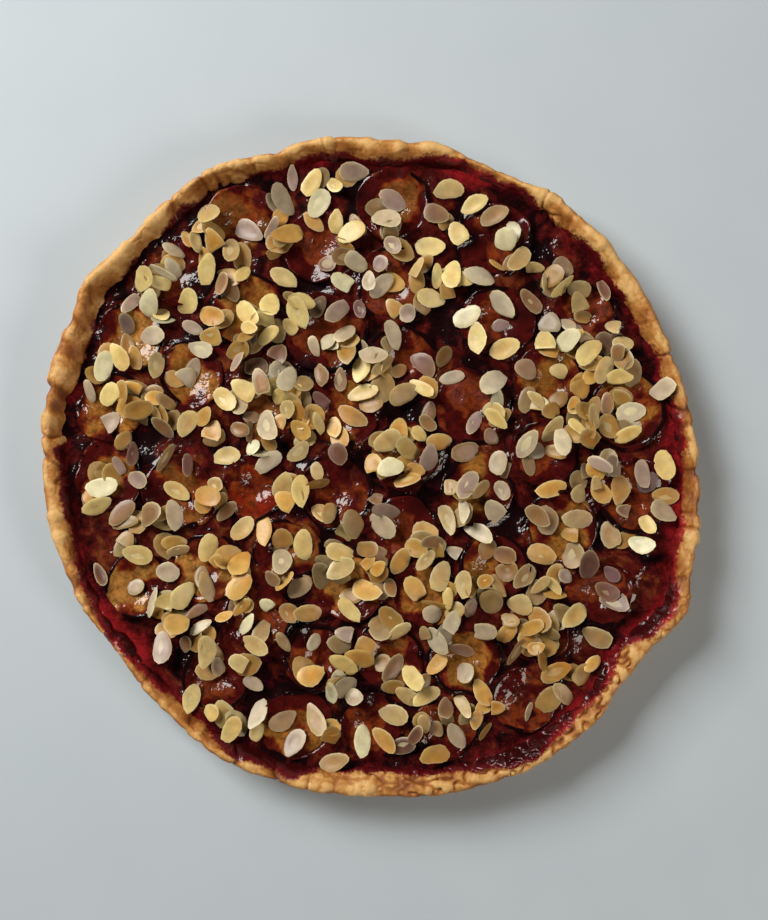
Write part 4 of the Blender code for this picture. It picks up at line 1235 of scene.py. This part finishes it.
def flake_paint(own, share, flake, draw, look):
    """A flake's colours: its tone with a paler cut rim, partly a painted glow of light through the
    thin edge, then a toasted side or middle, the dark of the juice where it lies flat on it, and
    painted shade where it is covered."""
    tone = flake["tone"]
    paint = np.tile(np.array(getattr(look, tone)), (len(own), 1))
    heading = draw.uniform(0, 2 * math.pi)
    side = own @ (math.cos(heading), math.sin(heading))
    middle = 1 - smooth_step(share, 0.2, 0.9)
    # A paler rim: partly a painted glow of light through the thin edge.
    paint = mixed(paint, look.rim, smooth_step(share, 0.8, 1.0) * draw.uniform(0.15, 0.7))
    most = TOASTING[tone]
    where = draw.choice((middle, np.clip(0.3 + 0.7 * side, 0, 1)))
    paint = mixed(paint, look.burnt, where * most * draw.uniform(0.2, 1))
    direction = np.degrees(np.arctan2(own[:, 1], own[:, 0])) % 360
    touch = np.interp(direction, np.arange(9) * 45, np.r_[flake["touch"], flake["touch"][0]])
    touch = touch * np.minimum(share, 1) + np.mean(flake["touch"]) * (1 - np.minimum(share, 1))
    paint = mixed(paint, look.dipped, np.clip(touch, 0, 1) * DIPPING[tone] * draw.uniform(0.3, 1))
    # Covered flakes are darker here: painted shade under the flakes over them.
    paint *= flake["light"]
    paint[:, 3] = 1
    return np.clip(paint, 0, 1)


def make_almonds(look):
    """All the flakes as one mesh, each laid on the fruit, the juice, the case or other flakes."""
    template = model_flake()
    unit = read_points(template.data)
    faces = [tuple(face.vertices) for face in template.data.polygons]
    bpy.data.objects.remove(template)
    below = ("cooked_plum", "set_juice", "pastry_crust")
    under = [obj for obj in bpy.data.objects if obj.name.startswith(below)]
    grid = surface_heights(under)
    draw = random.Random(43)
    points, paints, all_faces = [], [], []
    for spot in planned_flakes(draw, look):
        flake = lay_flake(draw, spot, look, grid)
        if flake is None:
            continue
        start = len(points) * len(unit)
        made, own, share = flake_points(unit, flake, draw, look)
        points.append(made)
        paints.append(flake_paint(own, share, flake, draw, look))
        all_faces += [tuple(start + k for k in face) for face in faces]
    mesh = bpy.data.meshes.new("almond_flakes")
    mesh.from_pydata(np.concatenate(points).tolist(), [], all_faces)
    set_paint(mesh, "kernel", np.concatenate(paints))
    obj = add_piece(mesh)
    keep_in_box(obj)
    finish_piece(obj, [], almond_material(look), sharp=50)


# The stage.

TABLE_WIDTH = 1.7
CAMERA_PLACE = (5.9 * MM, 3.2 * MM, 602 * MM)
# Each light's name, place, width, power in watts and tint.
LIGHTS = (
    ("window", (-0.85, 0.75, 0.95), 0.7, 27, "#fffcf6"),
    ("fill", (0.95, -0.55, 0.9), 0.5, 7, "#fff4e6"),
)


def make_stage():
    """A pale table, a broad window light from the upper left, weak fill, and the camera above."""
    bpy.ops.object.select_all(action="DESELECT")
    bpy.ops.mesh.primitive_plane_add(size=TABLE_WIDTH, location=(0, 0, -0.1 * MM))
    floor = bpy.context.object
    floor.name = "table_top"
    material, tree, shader = new_material(
        "matt painted board", {"Roughness": 0.8, "Specular IOR Level": 0.3}
    )
    place = add_node(tree, "ShaderNodeTexCoord").outputs["Object"]
    speck = add_node(tree, "ShaderNodeTexNoise", (), spots(place, 40, 2)).outputs["Fac"]
    stops = ((0, colour("#bac5cd")), (1, colour("#c0cad1")))
    paint = add_node(tree, "ShaderNodeValToRGB", (), {0: speck}, stops)
    tree.links.new(paint.outputs["Color"], shader.inputs["Base Color"])
    floor.data.materials.append(material)
    for light in LIGHTS:
        add_light(*light)
    # The room is pale at the height of the table and dim overhead, so that the wet juice stays dark.
    world = bpy.data.worlds.new("room")
    world.use_nodes = True
    tree = world.node_tree
    outward = add_node(tree, "ShaderNodeTexCoord").outputs["Generated"]
    rise = add_node(tree, "ShaderNodeSeparateXYZ", (), {0: outward}).outputs["Z"]
    glow = add_node(tree, "ShaderNodeMapRange", SOFT, span(rise, 0.05, 0.4, 0.5, 0.025))
    tree.nodes["Background"].inputs["Color"].default_value = colour("#dfe4e8")
    tree.links.new(glow.outputs["Result"], tree.nodes["Background"].inputs["Strength"])
    bpy.context.scene.world = world
    bpy.context.scene.view_settings.view_transform = "Standard"
    bpy.ops.object.camera_add(location=CAMERA_PLACE, rotation=(0, 0, 0))
    camera = bpy.context.object
    camera.data.lens = 50
    camera.data.sensor_width = 36
    bpy.context.scene.camera = camera


def add_light(name, place, size, power, tint):
    """A square area light that faces the tart."""
    bpy.ops.object.light_add(type="AREA", location=place)
    light = bpy.context.object
    light.name = name
    light.data.size = size
    light.data.energy = power
    light.data.color = colour(tint)[:3]
    light.rotation_euler = (-Vector(place)).to_track_quat("-Z", "Y").to_euler()


# The operators and the panel.


class TART_OT_pastry(bpy.types.Operator):
    """Bakes the pastry case: lumps, pleats and crumbs on its rim, browned and stained"""

    bl_idname = "tart.pastry"
    bl_label = "Pastry case"

    def execute(self, context):
        make_pastry(context.scene.tart_pastry)
        return {"FINISHED"}


class TART_OT_plums(bpy.types.Operator):
    """Cooks the plum halves: wrinkled flesh, a stone's hollow and a skin that stands up"""

    bl_idname = "tart.plums"
    bl_label = "Plum halves"

    def execute(self, context):
        make_plums(context.scene.tart_plums)
        return {"FINISHED"}


class TART_OT_juice(bpy.types.Operator):
    """Sets the juice between the plum halves and up the case's inner side"""

    bl_idname = "tart.juice"
    bl_label = "Set juice"

    def execute(self, context):
        make_juice(context.scene.tart_juice)
        return {"FINISHED"}


class TART_OT_almonds(bpy.types.Operator):
    """Strews the almond flakes, each of which comes to rest on what is under it"""

    bl_idname = "tart.almonds"
    bl_label = "Almond flakes"

    def execute(self, context):
        make_almonds(context.scene.tart_almonds)
        return {"FINISHED"}


class TART_OT_stage(bpy.types.Operator):
    """Lays the table top and sets the lights and the camera"""

    bl_idname = "tart.stage"
    bl_label = "Stage"

    def execute(self, context):
        make_stage()
        return {"FINISHED"}


class TART_PT_panel(bpy.types.Panel):
    """Lists the tart's pieces and what can be changed on each"""

    bl_label = "Plum tart"
    bl_idname = "TART_PT_panel"
    bl_space_type = "VIEW_3D"
    bl_region_type = "UI"
    bl_category = "Plum tart"

    def draw(self, context):
        for operator, group in OPERATORS:
            box = self.layout.box()
            box.operator(operator)
            if group:
                look = getattr(context.scene, group)
                for name in look.__annotations__:
                    box.prop(look, name)


OPERATORS = (
    ("tart.pastry", "tart_pastry"),
    ("tart.plums", "tart_plums"),
    ("tart.juice", "tart_juice"),
    ("tart.almonds", "tart_almonds"),
    ("tart.stage", None),
)
LOOKS = {
    "tart_pastry": PastryLook,
    "tart_plums": PlumLook,
    "tart_juice": JuiceLook,
    "tart_almonds": AlmondLook,
}
CLASSES = (
    *LOOKS.values(),
    TART_OT_pastry,
    TART_OT_plums,
    TART_OT_juice,
    TART_OT_almonds,
    TART_OT_stage,
    TART_PT_panel,
)


def register():
    """Makes the looks, the operators and the panel known to Blender."""
    for cls in CLASSES:
        bpy.utils.register_class(cls)
    for name, cls in LOOKS.items():
        setattr(bpy.types.Scene, name, PointerProperty(type=cls))


def unregister():
    """Takes them out again."""
    for name in LOOKS:
        delattr(bpy.types.Scene, name)
    for cls in reversed(CLASSES):
        bpy.utils.unregister_class(cls)


def main():
    """Makes the whole tart and its stage."""
    register()
    for operator, _ in OPERATORS:
        group, name = operator.split(".")
        getattr(getattr(bpy.ops, group), name)()


if __name__ == "__main__":
    main()
